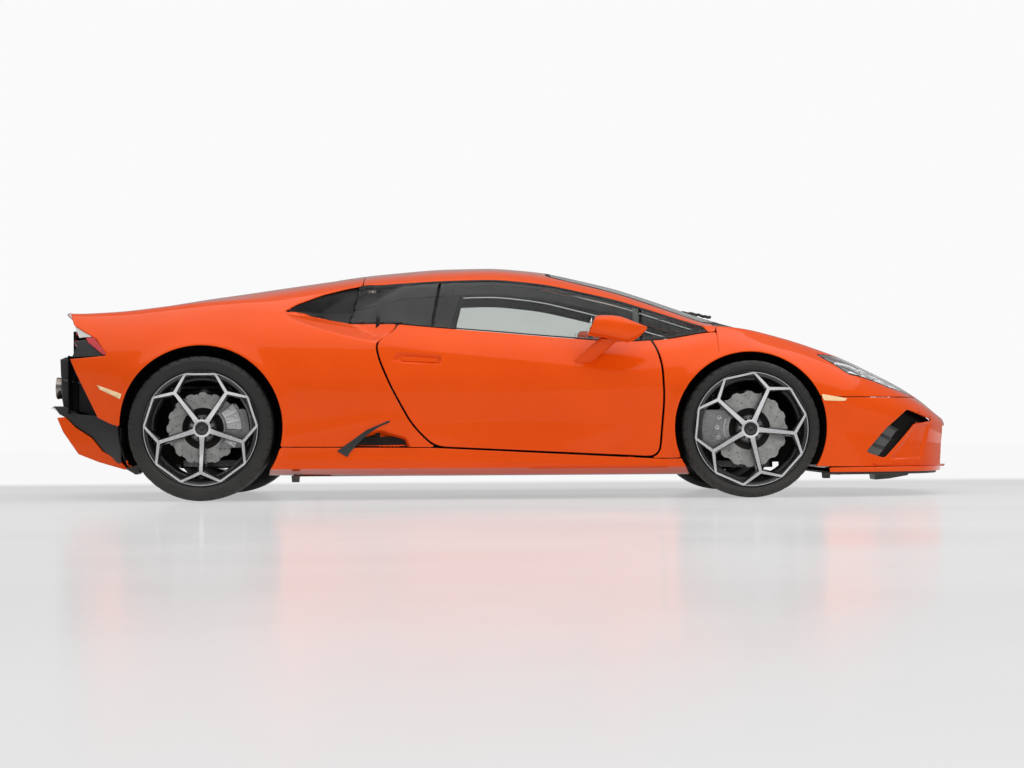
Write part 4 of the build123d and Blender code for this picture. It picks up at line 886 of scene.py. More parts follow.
def spoke_field(radius, angle):
    """The distance inside the bars of one fifth, whose spoke lies at angle 0."""
    x, y = radius * np.cos(angle), radius * np.sin(angle)
    fields = [
        bar_field(x, y, (0.0, 0.0), (0.075, 0.0), (0.0165, 0.0105)),
        bar_field(x, y, (0.070, 0.0), (FORK, 0.0), (0.0108, 0.0082)),
        np.where(np.abs(angle) < SPREAD - 0.035, 0.0036 - np.abs(radius - 0.2718), -1.0)]
    for sign in BOTH:
        tip = at_angle(REACH, sign * SPREAD)
        fields.append(bar_field(x, y, (FORK, 0.0), tip, (0.0078, 0.0060)))
        fields.append(bar_field(x, y, tip, at_angle(REACH, sign * (FIFTH - SPREAD)), 0.0052))
    return np.maximum.reduce(fields)


def wheel_face(wheel):
    """Height of the bright face outboard of the wheel's middle: the hub sits deeper than the rim, in a shallow dish."""
    rim = wheel["width"] / 2 - 0.011
    return lambda radius: 0.080 + (rim - 0.080) * ramp(radius, 0.045, 0.262)


def spoke_fifth(wheel):
    """Points (along, up, outboard) and faces of one fifth, closed behind, with 1 for each bright face."""
    radius = np.concatenate([np.arange(0.026, 0.255, 0.0045), np.arange(0.2565, 0.2761, 0.0016)])
    angle = np.linspace(-FIFTH / 2, FIFTH / 2, 65)
    r, a = [g.ravel() for g in np.meshgrid(radius, angle, indexing="ij")]
    field = spoke_field(r, a)
    points = np.stack([r * np.cos(a), r * np.sin(a), field], 1)
    tris = triangles(grid_faces(len(radius), len(angle)))
    points, tris = clip(points, tris, field + 0.0085)
    for level in (-0.0035, 0.0, 0.0007):
        points, tris = split(points, tris, level)
    height = wheel_face(wheel)(np.hypot(points[:, 0], points[:, 1]))
    drop = np.interp(points[:, 2], [-0.0085, -0.0035, 0.0, 0.0007], [0.036, 0.010, 0.0012, 0.0])
    front = np.column_stack([points[:, :2], height - drop])
    back = np.column_stack([points[:, :2], height - 0.037])
    bright = points[tris, 2].min(1) > 0.0006
    faces = np.concatenate([tris[:, ::-1], tris + len(front)])
    edges = np.sort(np.concatenate([tris[:, [0, 1]], tris[:, [1, 2]], tris[:, [2, 0]]]), 1)
    lone, count = np.unique(edges, axis=0, return_counts=True)
    directed = {tuple(e) for e in np.concatenate([tris[:, [0, 1]], tris[:, [1, 2]], tris[:, [2, 0]]]).tolist()}
    rim_walls = [(b, a, a + len(front), b + len(front)) if (a, b) in directed
                 else (a, b, b + len(front), a + len(front))
                 for a, b in lone[count == 1].tolist()]
    return np.concatenate([front, back]), [tuple(f) for f in faces.tolist()], rim_walls, bright


def placed(points, wheel, hand, turn=0.0):
    """Points (along, up, outboard) turned about the axle and put at a wheel: hand is 1 on the left, -1 on the right."""
    c, s = math.cos(turn), math.sin(turn)
    along, up = points[:, 0] * c - points[:, 1] * s, points[:, 0] * s + points[:, 1] * c
    return np.stack([wheel["x"] + along, hand * (wheel["y"] + points[:, 2]), wheel["radius"] + up], 1)


def turned(name, profile, wheel, hand, material, body, count=120):
    """A ring turned about the axle from a closed profile of (radius, outboard)."""
    profile = np.asarray(profile, float)
    angle = np.arange(count) * 2 * math.pi / count
    grid = np.stack([profile[None, :, 0] * np.cos(angle)[:, None], profile[None, :, 0] * np.sin(angle)[:, None],
                     np.broadcast_to(profile[:, 1], (count, len(profile)))], 2).reshape(-1, 3)
    piece = make_mesh(name, placed(grid, wheel, hand), grid_faces(count, len(profile), True, True), material, body,
                      sharp=40)
    return outward(piece)


print("one fifth of a wheel:", len(spoke_fifth(WHEELS["front"])[1]), "faces")

# %% [markdown]
# The tyre is a profile turned about the axle, but its tread has grooves. Two waves cut it: rings that run all the way
# round, and slanting cuts that lean towards the middle. Where either wave is near zero the tread sinks.

# %% Tyre
TREAD_DEPTH = .006


def tyre_profile(wheel):
    """Closed profile (radius, outboard) from the outer bead over the tread to the inner bead and back inside."""
    r, h = wheel["radius"], wheel["width"] / 2
    bead = 0.2765
    side_wall = [(0.268, h - .0185), (bead, h - .0165), (bead + .003, h - .0100), (bead + .009, h - .0058),
                 (bead + .0115, h - .0058), (bead + .013, h - .0040), (bead + .019, h - .0012), (bead + .027, h),
                 (r - .026, h - .0002), (r - .0235, h + .0000), (r - .0215, h - .0022), (r - .015, h - .0042),
                 (r - .0085, h - .0085), (r - .0035, h - .0150), (r - .0008, h - .0230)]
    tread = [(r - .0008 + .0008 * math.sin(math.pi * t), (h - .0230) * (1 - 2 * t))
             for t in np.linspace(0, 1, 42)[1:-1]]
    inner = [(0.262, -h + .030), (r - .020, -h + .020), (r - .014, 0), (r - .020, h - .020), (0.262, h - .030)]
    return np.array(side_wall + tread + [(a, -b) for a, b in side_wall[::-1]] + inner), len(side_wall), len(tread)


def make_tyre(name, wheel, hand, body):
    """Tyre: the profile at 400 steps round the axle, sunk by the tread's depth where a groove runs."""
    profile, before, across = tyre_profile(wheel)
    count = 400
    angle = np.arange(count) * 2 * math.pi / count
    radius = np.broadcast_to(profile[:, 0], (count, len(profile))).copy()
    out = np.broadcast_to(profile[:, 1], (count, len(profile)))
    tread = slice(before - 4, before + across + 4)
    half = wheel["width"] / 2
    rings = np.min([np.abs(out[:, tread] - place * half) for place in (-.52, -.18, .18, .52)], axis=0)
    slant = np.abs(((angle[:, None] * 40 / math.pi + np.abs(out[:, tread]) / half * 1.1 * 3.0) % 2) - 1)
    cuts = np.where((np.abs(out[:, tread]) > half * .24), slant * 0.030, 1)
    groove = np.minimum(rings - .0035, cuts - .0036)
    radius[:, tread] -= TREAD_DEPTH * (1 - ramp(groove, 0.0, .003))
    grid = np.stack([radius * np.cos(angle)[:, None], radius * np.sin(angle)[:, None], out], 2).reshape(-1, 3)
    piece = make_mesh(name, placed(grid, wheel, hand), grid_faces(count, len(profile), True, True), RUBBER, body,
                      sharp=30)
    return outward(piece)


print("tyre tread:", TREAD_DEPTH, "m deep")

# %% Rims, tyres and hub caps
def cap_profile(height):
    """A plain domed hub cap with a ring round it."""
    return [(0.0005, height), (0.012, height + .0022), (0.022, height + .0012), (0.0235, height + .0002),
            (0.0255, height + .0002), (0.0265, height + .0022), (0.0305, height + .0022), (0.032, height - .0005),
            (0.032, height - .03), (0.0005, height - .03)]


def wheel_nut(x, y, z):
    """A conical nut with six flats, closed, on the hub at (x, y) with its foot at z."""
    ring = np.arange(6) * math.pi / 3
    levels = [(.0125, 0.0), (.0125, .004), (.0098, .006), (.0098, .020), (.0082, .022), (.0004, .0205)]
    points = np.concatenate([np.stack([x + r * np.cos(ring), y + r * np.sin(ring), np.full(6, z + h)], 1)
                             for r, h in levels])
    caps = [tuple(range(5, -1, -1)), tuple(range(30, 36))]
    return points, [tuple(f) for f in grid_faces(len(levels), 6, False, True)] + caps


for end, wheel in WHEELS.items():
    points, caps, walls, bright = spoke_fifth(wheel)
    lip = wheel["width"] / 2 - .0075
    barrel = [(.2755, lip), (.2768, lip - .003), (.2768, lip - .0075), (.2540, lip - .0090), (.2540, lip - .030),
              (.2380, lip - .045), (.2380, -lip + .045), (.2540, -lip + .030), (.2540, -lip + .0090),
              (.2760, -lip + .0075), (.2760, -lip), (.2470, -lip + .0005), (.2470, -lip + .028), (.2310, -lip + .043),
              (.2310, lip - .047), (.2450, lip - .030), (.2560, lip - .0105), (.2700, lip - .0060),
              (.2735, lip - .0005)]
    hub_top = 0.060
    hub = [(.031, hub_top), (.062, hub_top - .003), (.069, hub_top - .010), (.072, hub_top - .026),
           (.031, hub_top - .026)]
    for name, hand in LEFT_AND_RIGHT:
        body = f"wheel_{end}_{name}"
        halves, slots = [], []
        for k in range(5):
            turned_points = placed(points, wheel, hand, math.radians(wheel["turn"]) + k * FIFTH)
            halves.append((turned_points, caps + walls))
            slots += bright.tolist() + [False] * (len(caps) - len(bright) + len(walls))
        shape, faces = merged(halves)
        rim = make_mesh(f"rim_spokes_{end}_{name}", shape, faces, [BLACK_GLOSS, ALLOY], body, sharp=28)
        rim.data.polygons.foreach_set("material_index", np.array(slots, dtype=int))
        clean(rim, 0.00005)
        outward(rim)
        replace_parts(rim, f"rim_{end}_{name}")
        turned(f"rim_barrel_{end}_{name}", barrel, wheel, hand, BLACK_GLOSS, body)
        turned(f"rim_hub_{end}_{name}", hub, wheel, hand, BLACK_GLOSS, body, 60)
        turned(f"hub_cap_{end}_{name}", cap_profile(0.0815), wheel, hand, BLACK_GLOSS, body, 60)
        turned(f"hub_ring_{end}_{name}", [(.0325, .0828), (.0405, .0820), (.0435, .0795), (.0435, .0640),
                                          (.0325, .0640)], wheel, hand, ALLOY, body, 60)
        nuts = [wheel_nut(*at_angle(.0505, math.radians(wheel["turn"]) + (k + .5) * FIFTH), hub_top - .006)
                for k in range(5)]
        nut_points, nut_faces = merged(nuts)
        outward(make_mesh(f"wheel_nuts_{end}_{name}", placed(nut_points, wheel, hand), nut_faces, CAST_METAL, body,
                          sharp=30))
        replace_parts(make_tyre(f"tyre_tread_{end}_{name}", wheel, hand, body), f"tyre_{end}_{name}")
print("wheels made")

# %% [markdown]
# Brakes. The disc's rim is scalloped, a wave of sixteen lobes, and it is drilled in slanting rows. The holes come from
# the same cutting as the panels: the field is the distance to the nearest hole. A thick black bell carries it.

# %% Brake discs and calipers
DISC_LOBES = 16


def disc_face(wheel):
    """Sector of the disc's outer face with its holes cut out: points (along, up) and triangles."""
    size = wheel["disc"]
    width = 2 * math.pi / DISC_LOBES
    radius, angle = np.linspace(.100, size, 38), np.linspace(-width / 2, width / 2, 32)
    r, a = [g.ravel() for g in np.meshgrid(radius, angle, indexing="ij")]
    x, y = r * np.cos(a), r * np.sin(a)
    edge = size - .0045 + .0045 * np.clip(1.6 * np.cos(a * DISC_LOBES), -1, 1) - r
    holes = [at_angle(.112 + .0165 * k, (k * .34 - .62) * width / 1.25) for k in range(4)]
    field = np.minimum.reduce([edge] + [np.hypot(x - hx, y - hy) - .0032 for hx, hy in holes])
    return clip(np.stack([x, y], 1), triangles(grid_faces(38, 32)), field)


def add_disc(end, wheel, name, hand):
    """Disc: drilled outer face, plain body just behind it, and the bell with its bobbins."""
    body, size = f"wheel_{end}_{name}", wheel["disc"]
    points, tris = disc_face(wheel)
    sectors = []
    for k in range(DISC_LOBES):
        c, s = at_angle(1, k * 2 * math.pi / DISC_LOBES)
        sectors.append((np.stack([points[:, 0] * c - points[:, 1] * s, points[:, 0] * s + points[:, 1] * c,
                                  np.full(len(points), .0236)], 1),
                        tris[:, ::-1]))
    shape, faces = merged(sectors)
    face = make_mesh(f"disc_face_{end}_{name}", placed(shape, wheel, hand), [f[::-1] if hand > 0 else f for f in faces],
                     DISC_METAL, body, smooth=False)
    clean(face, .00003)
    thicken(joined_flats(face, 0.2), .006, offset=-1)
    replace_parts(face, f"disc_{end}_{name}")
    turned(f"disc_back_{end}_{name}", [(.102, .017), (size - .012, .017), (size - .0105, .010), (size - .0105, .002),
                                       (size - .012, -.0095), (.102, -.0095)], wheel, hand, DISC_METAL, body, 96)
    turned(f"disc_bell_{end}_{name}", [(.034, .034), (.070, .034), (.0755, .030), (.079, .0265), (.0975, .0262),
                                       (.101, .0245), (.101, .006), (.070, .004), (.064, .024), (.034, .024)], wheel,
           hand, SHADOW_BLACK, body, 96)


def caliper_shape(low, high, inner, outer, out):
    """A caliper as a grid round the axle: angle along it, and a rounded box section of radius and outboard distance,
    which narrows at both ends and steps in over two bridges."""
    t = np.linspace(0, 1, 49)[:, None]
    around = np.linspace(0, 2 * math.pi, 33)[:-1][None, :]
    angle = low + (high - low) * t
    box_r = np.sign(np.cos(around)) * np.abs(np.cos(around)) ** .35
    box_u = np.sign(np.sin(around)) * np.abs(np.sin(around)) ** .35
    end = np.minimum(1, 4.2 * np.sqrt(np.clip(t * (1 - t), 0, 1) * .25 + .0004) * 2)
    step = 1.0
    for place, depth, spread in ((.34, .10, .035), (.66, .10, .035), (.5, .05, .02)):
        step = step - depth * np.exp(-((t - place) / spread) ** 2)
    r = (inner + outer) / 2 + (outer - inner) / 2 * box_r * end * (.96 + .04 * step)
    u = sum(out) / 2 + (out[1] - out[0]) / 2 * box_u * end * step
    points = np.stack([r * np.cos(angle), r * np.sin(angle), u + 0 * r], 2)
    faces = [tuple(f) for f in grid_faces(49, 32, False, True)]
    return points.reshape(-1, 3), faces + [tuple(range(31, -1, -1)), tuple(range(48 * 32, 49 * 32))]


def bolt_head(x, y, z, radius, height):
    """A round bolt head with a dished top."""
    ring = np.arange(12) * math.pi / 6
    levels = [(radius, 0.0), (radius, height * .7), (radius * .8, height), (radius * .45, height),
              (radius * .4, height * .4), (.0002, height * .4)]
    points = np.concatenate([np.stack([x + r * np.cos(ring), y + r * np.sin(ring), np.full(12, z + h)], 1)
                             for r, h in levels])
    return points, [tuple(f) for f in grid_faces(len(levels), 12, False, True)]


CALIPERS = {
    "front": [(math.radians(152), math.radians(202), .118, .196, (.028, .0428))],
    "rear": [(math.radians(-4), math.radians(42), .114, .190, (.030, .0490)),
             (math.radians(-32), math.radians(-14), .120, .180, (.030, .0480))],
}
for end, wheel in WHEELS.items():
    for name, hand in LEFT_AND_RIGHT:
        add_disc(end, wheel, name, hand)
        body = f"knuckle_{name}" if end == "front" else "car"
        pieces = []
        for low, high, inner, outer, out in CALIPERS[end]:
            pieces.append(caliper_shape(low, high, inner, outer, out))
            pieces.append(caliper_shape(low + .05, high - .05, outer - .012, outer + .010, (-.030, out[1] - .010)))
            for spot in np.linspace(low + .12, high - .12, 3):
                pieces.append(bolt_head(*at_angle((inner + outer) / 2, spot), out[1] - .0012, .011, .0045))
        shape, faces = merged(pieces)
        outward(make_mesh(f"caliper_{end}_{name}", placed(shape, wheel, hand), faces, CALIPER, body, sharp=40))
print("brakes made")

# %% [markdown]
# The CAD nodes that keep their own shape get their finish here: floor, liners and panels under the skin are black,
# arms and uprights are cast metal, and the cabin is trimmed in black leather. The mesh of such a node is left alone.

# %% Finishes for the frame's own nodes
NODE_FINISH = {
    SHADOW_BLACK: ["arch_liners", "chassis_tub"],
    CAST_METAL: ["suspension", "knuckle_front_left", "knuckle_front_right", "uprights_rear"],
    CASING: ["engine"],
    PIPE_METAL: ["exhausts"],
    LEATHER: ["dashboard", "seats", "steering_wheel"],
    BLACK_PLASTIC: ["front_grilles", "rear_fascia", "diffuser", "splitter_front", "tail_lamps", "cowl"],
    PAINT: ["spoiler", "mirror_left", "mirror_right"],
    RUBBER: ["tyre_front_left", "tyre_front_right", "tyre_rear_left", "tyre_rear_right"],
    DISC_METAL: ["disc_front_left", "disc_front_right", "disc_rear_left", "disc_rear_right"],
}
for finish, names in NODE_FINISH.items():
    for name in names:
        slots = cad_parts[name].data.materials
        slots.clear()
        slots.append(finish)
print("finished nodes:", sum(len(names) for names in NODE_FINISH.values()))

# %% [markdown]
# Small trim comes from two makers. A slab is an outline in the side view with an outer and an inner face, which may
# each follow the body, and it gets a small round on its edges; a loft is a skin over rings of points.

# %% Makers for trim
def body_side(x, z):
    """How far out the body's left side is at (x, z): the nearest point of the body surface below its rail."""
    low = BODY.reshape(-1, 3)[: BODY.shape[1] * sum(ROWS[:6])]
    x, z = np.atleast_1d(x), np.atleast_1d(z)
    near = ((low[None, :, 0] - x[:, None]) ** 2 + (low[None, :, 2] - z[:, None]) ** 2).argmin(1)
    return low[near, 1]


def slab(name, outline, outer, inner, material, body="car", sides=BOTH, bevel=0.0015, node=None, segments=2):
    """An outline of (x, z) points with an outer and an inner face, each at a distance y or one y for each point."""
    outline = np.asarray(outline, float)
    if ((outline[:, 0] * np.roll(outline[:, 1], -1)) - (np.roll(outline[:, 0], -1) * outline[:, 1])).sum() > 0:
        outline = outline[::-1]
        outer = outer if np.isscalar(outer) else np.asarray(outer)[::-1]
        inner = inner if np.isscalar(inner) else np.asarray(inner)[::-1]
    count = len(outline)
    rings = [np.column_stack([outline[:, 0], np.broadcast_to(y, count), outline[:, 1]]) for y in (outer, inner)]
    ring = np.arange(count)
    after = (ring + 1) % count
    walls = np.stack([ring, ring + count, after + count, after], 1)
    points, faces = np.concatenate(rings), [tuple(ring)] + [tuple(count + ring[::-1])] + walls.tolist()
    piece = outward(make_mesh(name, *on_sides(points, faces, sides), material, body, sharp=40))
    if bevel:
        soften(piece, bevel, segments)
    if node:
        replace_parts(piece, *([node] if isinstance(node, str) else node))
    return piece


def loft(name, rings, material, body="car", sides=ONCE, node=None, sharp=40):
    """A skin over rings of points (ring, point, xyz), closed round each ring and capped at both ends."""
    rings = np.asarray(rings, float)
    count, size = rings.shape[:2]
    faces = grid_faces(count, size, close_columns=True).tolist()
    faces += [list(range(size)), list(range((count - 1) * size, count * size))[::-1]]
    piece = make_mesh(name, *on_sides(rings.reshape(-1, 3), faces, sides), material, body, sharp=sharp)
    with editing(piece) as work:
        bmesh.ops.remove_doubles(work, verts=work.verts, dist=1e-6)
        bmesh.ops.recalc_face_normals(work, faces=work.faces)
    shade_smooth(piece, sharp)
    if node:
        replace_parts(piece, *([node] if isinstance(node, str) else node))
    return piece


def rounded_ring(centre, right, up, power=2.6, count=36):
    """A superellipse |a|^power + |b|^power = 1 about a centre, spanned by two half axes."""
    t = np.linspace(0, 2 * math.pi, count, endpoint=False)
    a = np.sign(np.cos(t)) * np.abs(np.cos(t)) ** (2 / power)
    b = np.sign(np.sin(t)) * np.abs(np.sin(t)) ** (2 / power)
    return np.asarray(centre) + a[:, None] * np.asarray(right) + b[:, None] * np.asarray(up)


print("body is", round(float(body_side(-0.6, 0.4)[0]), 3), "m out at the rear door edge")

# %% [markdown]
# Door mirrors: a wedge of a housing that narrows to a point in front, on a foot that stands on the door's shoulder.
# Both are lofts; the glass is a flat plate let into the housing's back.

# %% Door mirrors
MIRROR_STATIONS = np.array([  # x, top, bottom, middle y, half width
    (.448, .866, .780, 1.006, .086), (.454, .8695, .775, 1.006, .0925), (.500, .871, .764, 1.006, .0950),
    (.545, .870, .754, 1.005, .0930), (.586, .865, .746, 1.002, .0860), (.620, .853, .741, .998, .0740),
    (.650, .841, .750, .994, .0590), (.678, .830, .770, .990, .0420), (.700, .8215, .790, .987, .0250),
    (.713, .816, .803, .985, .0100)])
STALK_STATIONS = np.array([  # x, y, z, half length along the car, half width
    (.398, .896, .640, .060, .010), (.414, .903, .652, .056, .013), (.450, .930, .688, .050, .015),
    (.500, .962, .730, .048, .016), (.540, .984, .765, .046, .018)])
for name, sign in LEFT_AND_RIGHT:
    rings = [rounded_ring((x, y, (top + low) / 2), (0, half, 0), (0.02 * (x < .46), 0, (top - low) / 2), 3.2)
             for x, top, low, y, half in MIRROR_STATIONS]
    loft(f"mirror_housing_{name}", rings, PAINT, f"door_{name}", (sign,), f"mirror_{name}", 34)
    rings = [rounded_ring((x, y, z), (along, 0, 0), (0, wide * .8, -wide * .5), 2.6)
             for x, y, z, along, wide in STALK_STATIONS]
    loft(f"mirror_foot_{name}", rings, PAINT, f"door_{name}", (sign,), sharp=34)
    backs = [rounded_ring((x, 1.006, .822), (0, half, 0), (0, 0, half * .5), 3.2)
             for x, half in ((.4475, .078), (.4455, .0775), (.4452, .074))]
    loft(f"mirror_glass_{name}", backs, MIRROR_GLASS, f"door_{name}", (sign,), sharp=30)
print("mirrors made")

# %% [markdown]
# Side trim. A black rubber strip frames the window; its lower run is on the door and moves with it. A thin post
# divides the front quarter light. Low down behind the door a black blade stands over the air scoop, with a fin in it.

# %% Window strips, blade and markers
def raised(name, field, material, lift=0.0008, body="car", sides=BOTH, thickness=0.003, extra=()):
    """A thin piece that follows the body, lifted off it by a little, or let into it where the lift is negative."""
    return panel(name, field, material, None, body, thickness, min(.0008, thickness / 3), sides, 0,
                 [(everywhere, -lift, .02), *extra])


def faceted(outline):
    """The body surface inside a convex outline in the side view, cut by one straight line after another, which keeps a
    shape sharp that is smaller than the surface's own triangles."""
    points, tris = BODY_POINTS, BODY_TRIS
    for (x0, z0), (x1, z1) in zip(outline, outline[1:] + outline[:1]):
        points, tris = clip(points, tris, ((z1 - z0) * (points[:, 0] - x0) - (x1 - x0) * (points[:, 2] - z0))
                            / math.hypot(x1 - x0, z1 - z0))
    return points, tris


strip = within(window_field, outside(grown(window_field, -.011)))
door_strip = within(strip, pane_split, lambda p: .86 - p[:, 2])
raised("window_strips", within(strip, outside(grown(door_strip, .002)), outside(black_end)), SOFT_SEAL,
       extra=[pane_tuck])
for name, sign in LEFT_AND_RIGHT:
    raised(f"door_top_strip_{name}", door_strip, SOFT_SEAL, .0008, f"door_{name}", (sign,))
raised("quarter_light_posts", within(grown(window_field, -.004), lambda p: .014 - np.abs(p[:, 0] - .676)), GREY_PLASTIC,
       -.0065, thickness=.012)
raised("centre_pillar_covers", within(grown(window_field, -.003),
                                      lambda p: .018 - np.abs(p[:, 0] + .300 - (p[:, 2] - .75) * .26)),
       SHADOW_BLACK, -.012, thickness=.02)
BLADE = [(-.514, .3785), (-.621, .334), (-.699, .278), (-.763, .2345), (-.714, .2055), (-.699, .2295), (-.664, .268),
         (-.616, .3135), (-.559, .350), (-.509, .3705)]
blade_edge = rounded(BLADE, .004, 4)
blade_out = np.interp(blade_edge[:, 0], [-.763, -.509], [body_side(-.763, .24)[0], body_side(-.509, .365)[0]])
slab("scoop_blades", blade_edge, blade_out + .0045, blade_out - .012, BLACK_GLOSS, bevel=.0012)
SCOOP_FIN = [(-.672, .2575), (-.660, .2655), (-.440, .2665), (-.420, .2600), (-.440, .2560)]
raised("scoop_fins", side(SCOOP_FIN), PAINT, -.018, thickness=.022)
# A near-black sheet deep inside each side scoop is painted shade of the opening.
raised("scoop_shadows", within(side(rounded([(-.735, .216), (-.60, .222), (-.56, .330), (-.62, .310)], .01))),
       SHADOW_BLACK, -.0395, thickness=.003)
FRONT_MARK = [(1.545, .4925), (1.676, .4705), (1.683, .464), (1.663, .458), (1.556, .4605)]
REAR_MARK = [(-1.904, .556), (-1.784, .512), (-1.792, .488), (-1.893, .536)]
raised("front_side_markers", within(side(rounded(FRONT_MARK, .004, 4)), outside(grown(front_arch, .004))), MARKER,
       .0022)
panel("rear_side_markers", everywhere, MARKER, None, "car", .003, .0008, BOTH, 0, [(everywhere, -.0024, .02)],
      faceted(REAR_MARK))
print("side trim made")

# %% [markdown]
# Door inside and handle. Behind each painted skin sits the door's casing, covered in leather, with an armrest, a pull
# and a hinge arm at the front edge. Without it an open door would look like a single sheet.

# %% Door casings
casing_field = within(grown(door_field, -.018), lambda p: p[:, 2] - .225)
for name, sign in LEFT_AND_RIGHT:
    body = f"door_{name}"
    panel(f"door_casing_{name}", casing_field, LEATHER, None, body, .052, .004, (sign,), 0, [(everywhere, .026, .02)])
    rest_x = np.linspace(-.30, .46, 26)
    width = .030 + .022 * np.sin((rest_x + .30) / .76 * math.pi)
    rings = [rounded_ring((x, .818 - w * .6, .500 + .03 * (x + .3)), (0, w, 0), (0, 0, .030), 3.0, 24)
             for x, w in zip(rest_x, width)]
    loft(f"door_armrest_{name}", rings, SUEDE, body, (sign,), sharp=30)
    pull_x = np.linspace(-.06, .20, 22)
    rings = [rounded_ring((x, .792 - .030 * math.sin((x + .06) / .26 * math.pi), .625), (0, .006, 0), (0, 0, .011),
                          2.4, 16) for x in pull_x]
    loft(f"door_pull_{name}", rings, ALLOY, body, (sign,), sharp=30)
    for height in (.330, .600):
        rings = [rounded_ring((x, y, height), (0, .009, 0), (0, 0, .016), 3.0, 20)
                 for x, y in ((.640, .868), (.668, .880), (.690, .896), (.703, .9035))]
        loft(f"door_hinge_arm_{name}_{round(height * 1000)}", rings, CAST_METAL, body, (sign,), sharp=30)
GRIP = rounded([(XR + .955, .664), (XR + 1.120, .655), (XR + 1.122, .676), (XR + .960, .687)], .008)
for name, sign in LEFT_AND_RIGHT:
    raised(f"door_handle_{name}", side(GRIP), PAINT, -.0085, f"door_{name}", (sign,), .007)
print("doors trimmed")

# %% [markdown]
# The tail. A painted lip runs across the car's end, bowed backwards at the middle. Under it are the lamps: a clear
# strip, a red one that runs down the painted edge, and a black housing. Between them stands a black frame with a
# mesh, the two exhausts, and below it all the diffuser with its fins, held between two painted strakes.

# %% Rear lip, lamps and frame
def bowed(name, profile, half, bow, front, material, node=None, rise=0.0):
    """A profile of (x, z) points swept across the car. Behind the line x = front it is stretched backwards by
    1 + bow (1 - (y / half)^2), so that it is longest at the middle; rise lifts the middle in the same way."""
    y = np.linspace(-half, half, 33)
    middle = 1 - (y / half) ** 2
    profile = np.asarray(profile, float)
    x = front + (profile[None, :, 0] - front) * (1 + bow * middle[:, None])
    z = profile[None, :, 1] + rise * middle[:, None]
    return loft(name, np.stack([x, np.broadcast_to(y[:, None], x.shape), z], 2), material, "car", ONCE, node, 30)


bowed("rear_lip", [(-1.972, .8965), (-2.005, .894), (-2.035, .8955), (-2.058, .905), (-2.066, .912), (-2.064, .905),
                   (-2.052, .885), (-2.040, .868), (-2.020, .860), (-1.972, .858)], .66, 1.05, -1.972, PAINT, "spoiler",
      rise=.008)
CLEAR_STRIP = [(-2.026, .838), (-2.000, .783), (-1.969, .786), (-1.927, .787), (-1.943, .803), (-1.976, .840)]
RED_STRIP = [(-1.967, .784), (-1.925, .784), (-1.853, .698), (-1.880, .702), (-1.956, .763)]
LAMP_HOUSING = [(-2.027, .7645), (-1.969, .776), (-1.950, .758), (-1.880, .700), (-1.857, .6965), (-2.032, .692),
                (-2.008, .745)]


def tail_y(outline, inset):
    """The body's own distance out at each point of an outline, less an inset; past the tail it keeps the last value."""
    outline = np.asarray(outline)
    return body_side(np.maximum(outline[:, 0], XR - .76), outline[:, 1]) - inset


for name, outline, inset, inner, material in (
        ("tail_lamp_clear", CLEAR_STRIP, .006, .56, GREY_LENS), ("tail_lamp_red", RED_STRIP, .001, .60, RED_GLOW),
        ("tail_lamp_housing", LAMP_HOUSING, .010, .50, BLACK_GLOSS)):
    piece = slab(name, outline, tail_y(outline, inset), inner, material, bevel=.002)
    if name == "tail_lamp_red":
        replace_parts(piece, "tail_lamps")


def tube(name, path, radius, material, sides=BOTH):
    """A round tube along a path: a ring of this radius at every point, square to the mean of the two runs there."""
    path = np.asarray(path, float)
    along = np.gradient(path, axis=0)
    along /= np.linalg.norm(along, axis=1, keepdims=True)
    first = np.cross(along, np.where(np.abs(along[:, 2:]) < .8, [[0, 0, 1.0]], [[1.0, 0, 0]]))
    first /= np.linalg.norm(first, axis=1, keepdims=True)
    second = np.cross(along, first)
    t = np.linspace(0, 2 * math.pi, 12, endpoint=False)[None, :, None]
    radius = np.broadcast_to(radius, len(path))[:, None, None]
    rings = path[:, None] + radius * (first[:, None] * np.cos(t) + second[:, None] * np.sin(t))
    return loft(name, rings, material, "car", sides)


def through(points, count=20):
    """A smooth path through a few points: a cubic whose slope at each point is half the step between its neighbours."""
    points = np.asarray(points, float)
    slope = np.gradient(points, axis=0)
    t = np.linspace(0, len(points) - 1, count)
    k = np.minimum(t.astype(int), len(points) - 2)
    u = (t - k)[:, None]
    return ((2 * u ** 3 - 3 * u ** 2 + 1) * points[k] + (u ** 3 - 2 * u ** 2 + u) * slope[k]
            + (3 * u ** 2 - 2 * u ** 3) * points[k + 1] + (u ** 3 - u ** 2) * slope[k + 1])


TAIL_BARS = ([(-2.052, .520, .792), (-2.050, .60, .790), (-2.038, .66, .789)],
             [(-2.038, .66, .789), (-2.026, .72, .812), (-2.000, .775, .825)],
             [(-2.038, .66, .789), (-2.034, .72, .762), (-2.010, .785, .738)])
for number, path in enumerate(TAIL_BARS):
    tube(f"tail_lamp_bar_{number}", through(path), .0075, RED_GLOW)
LAMP_BACK = [(-2.022, .852), (-2.034, .846), (-2.040, .80), (-2.036, .715), (-2.022, .705)]
bowed("tail_lamp_backing", LAMP_BACK, .62, 2.0, -2.022, BLACK_PLASTIC)
bowed("rear_frame_top", [(-2.050, .700), (-2.095, .696), (-2.119, .686), (-2.119, .660), (-2.095, .650),
                         (-2.050, .650)], .66, .55, -2.050, BLACK_PLASTIC)
bowed("rear_frame_foot", [(-2.040, .500), (-2.100, .505), (-2.112, .490), (-2.106, .455), (-2.040, .430)], .66, .45,
      -2.040, BLACK_PLASTIC)
END_PLATE = [(-2.120, .688), (-2.118, .62), (-2.106, .456), (-1.945, .405), (-1.985, .520), (-2.055, .684)]
slab("rear_frame_ends", END_PLATE, .668, .640, BLACK_PLASTIC, bevel=.004)
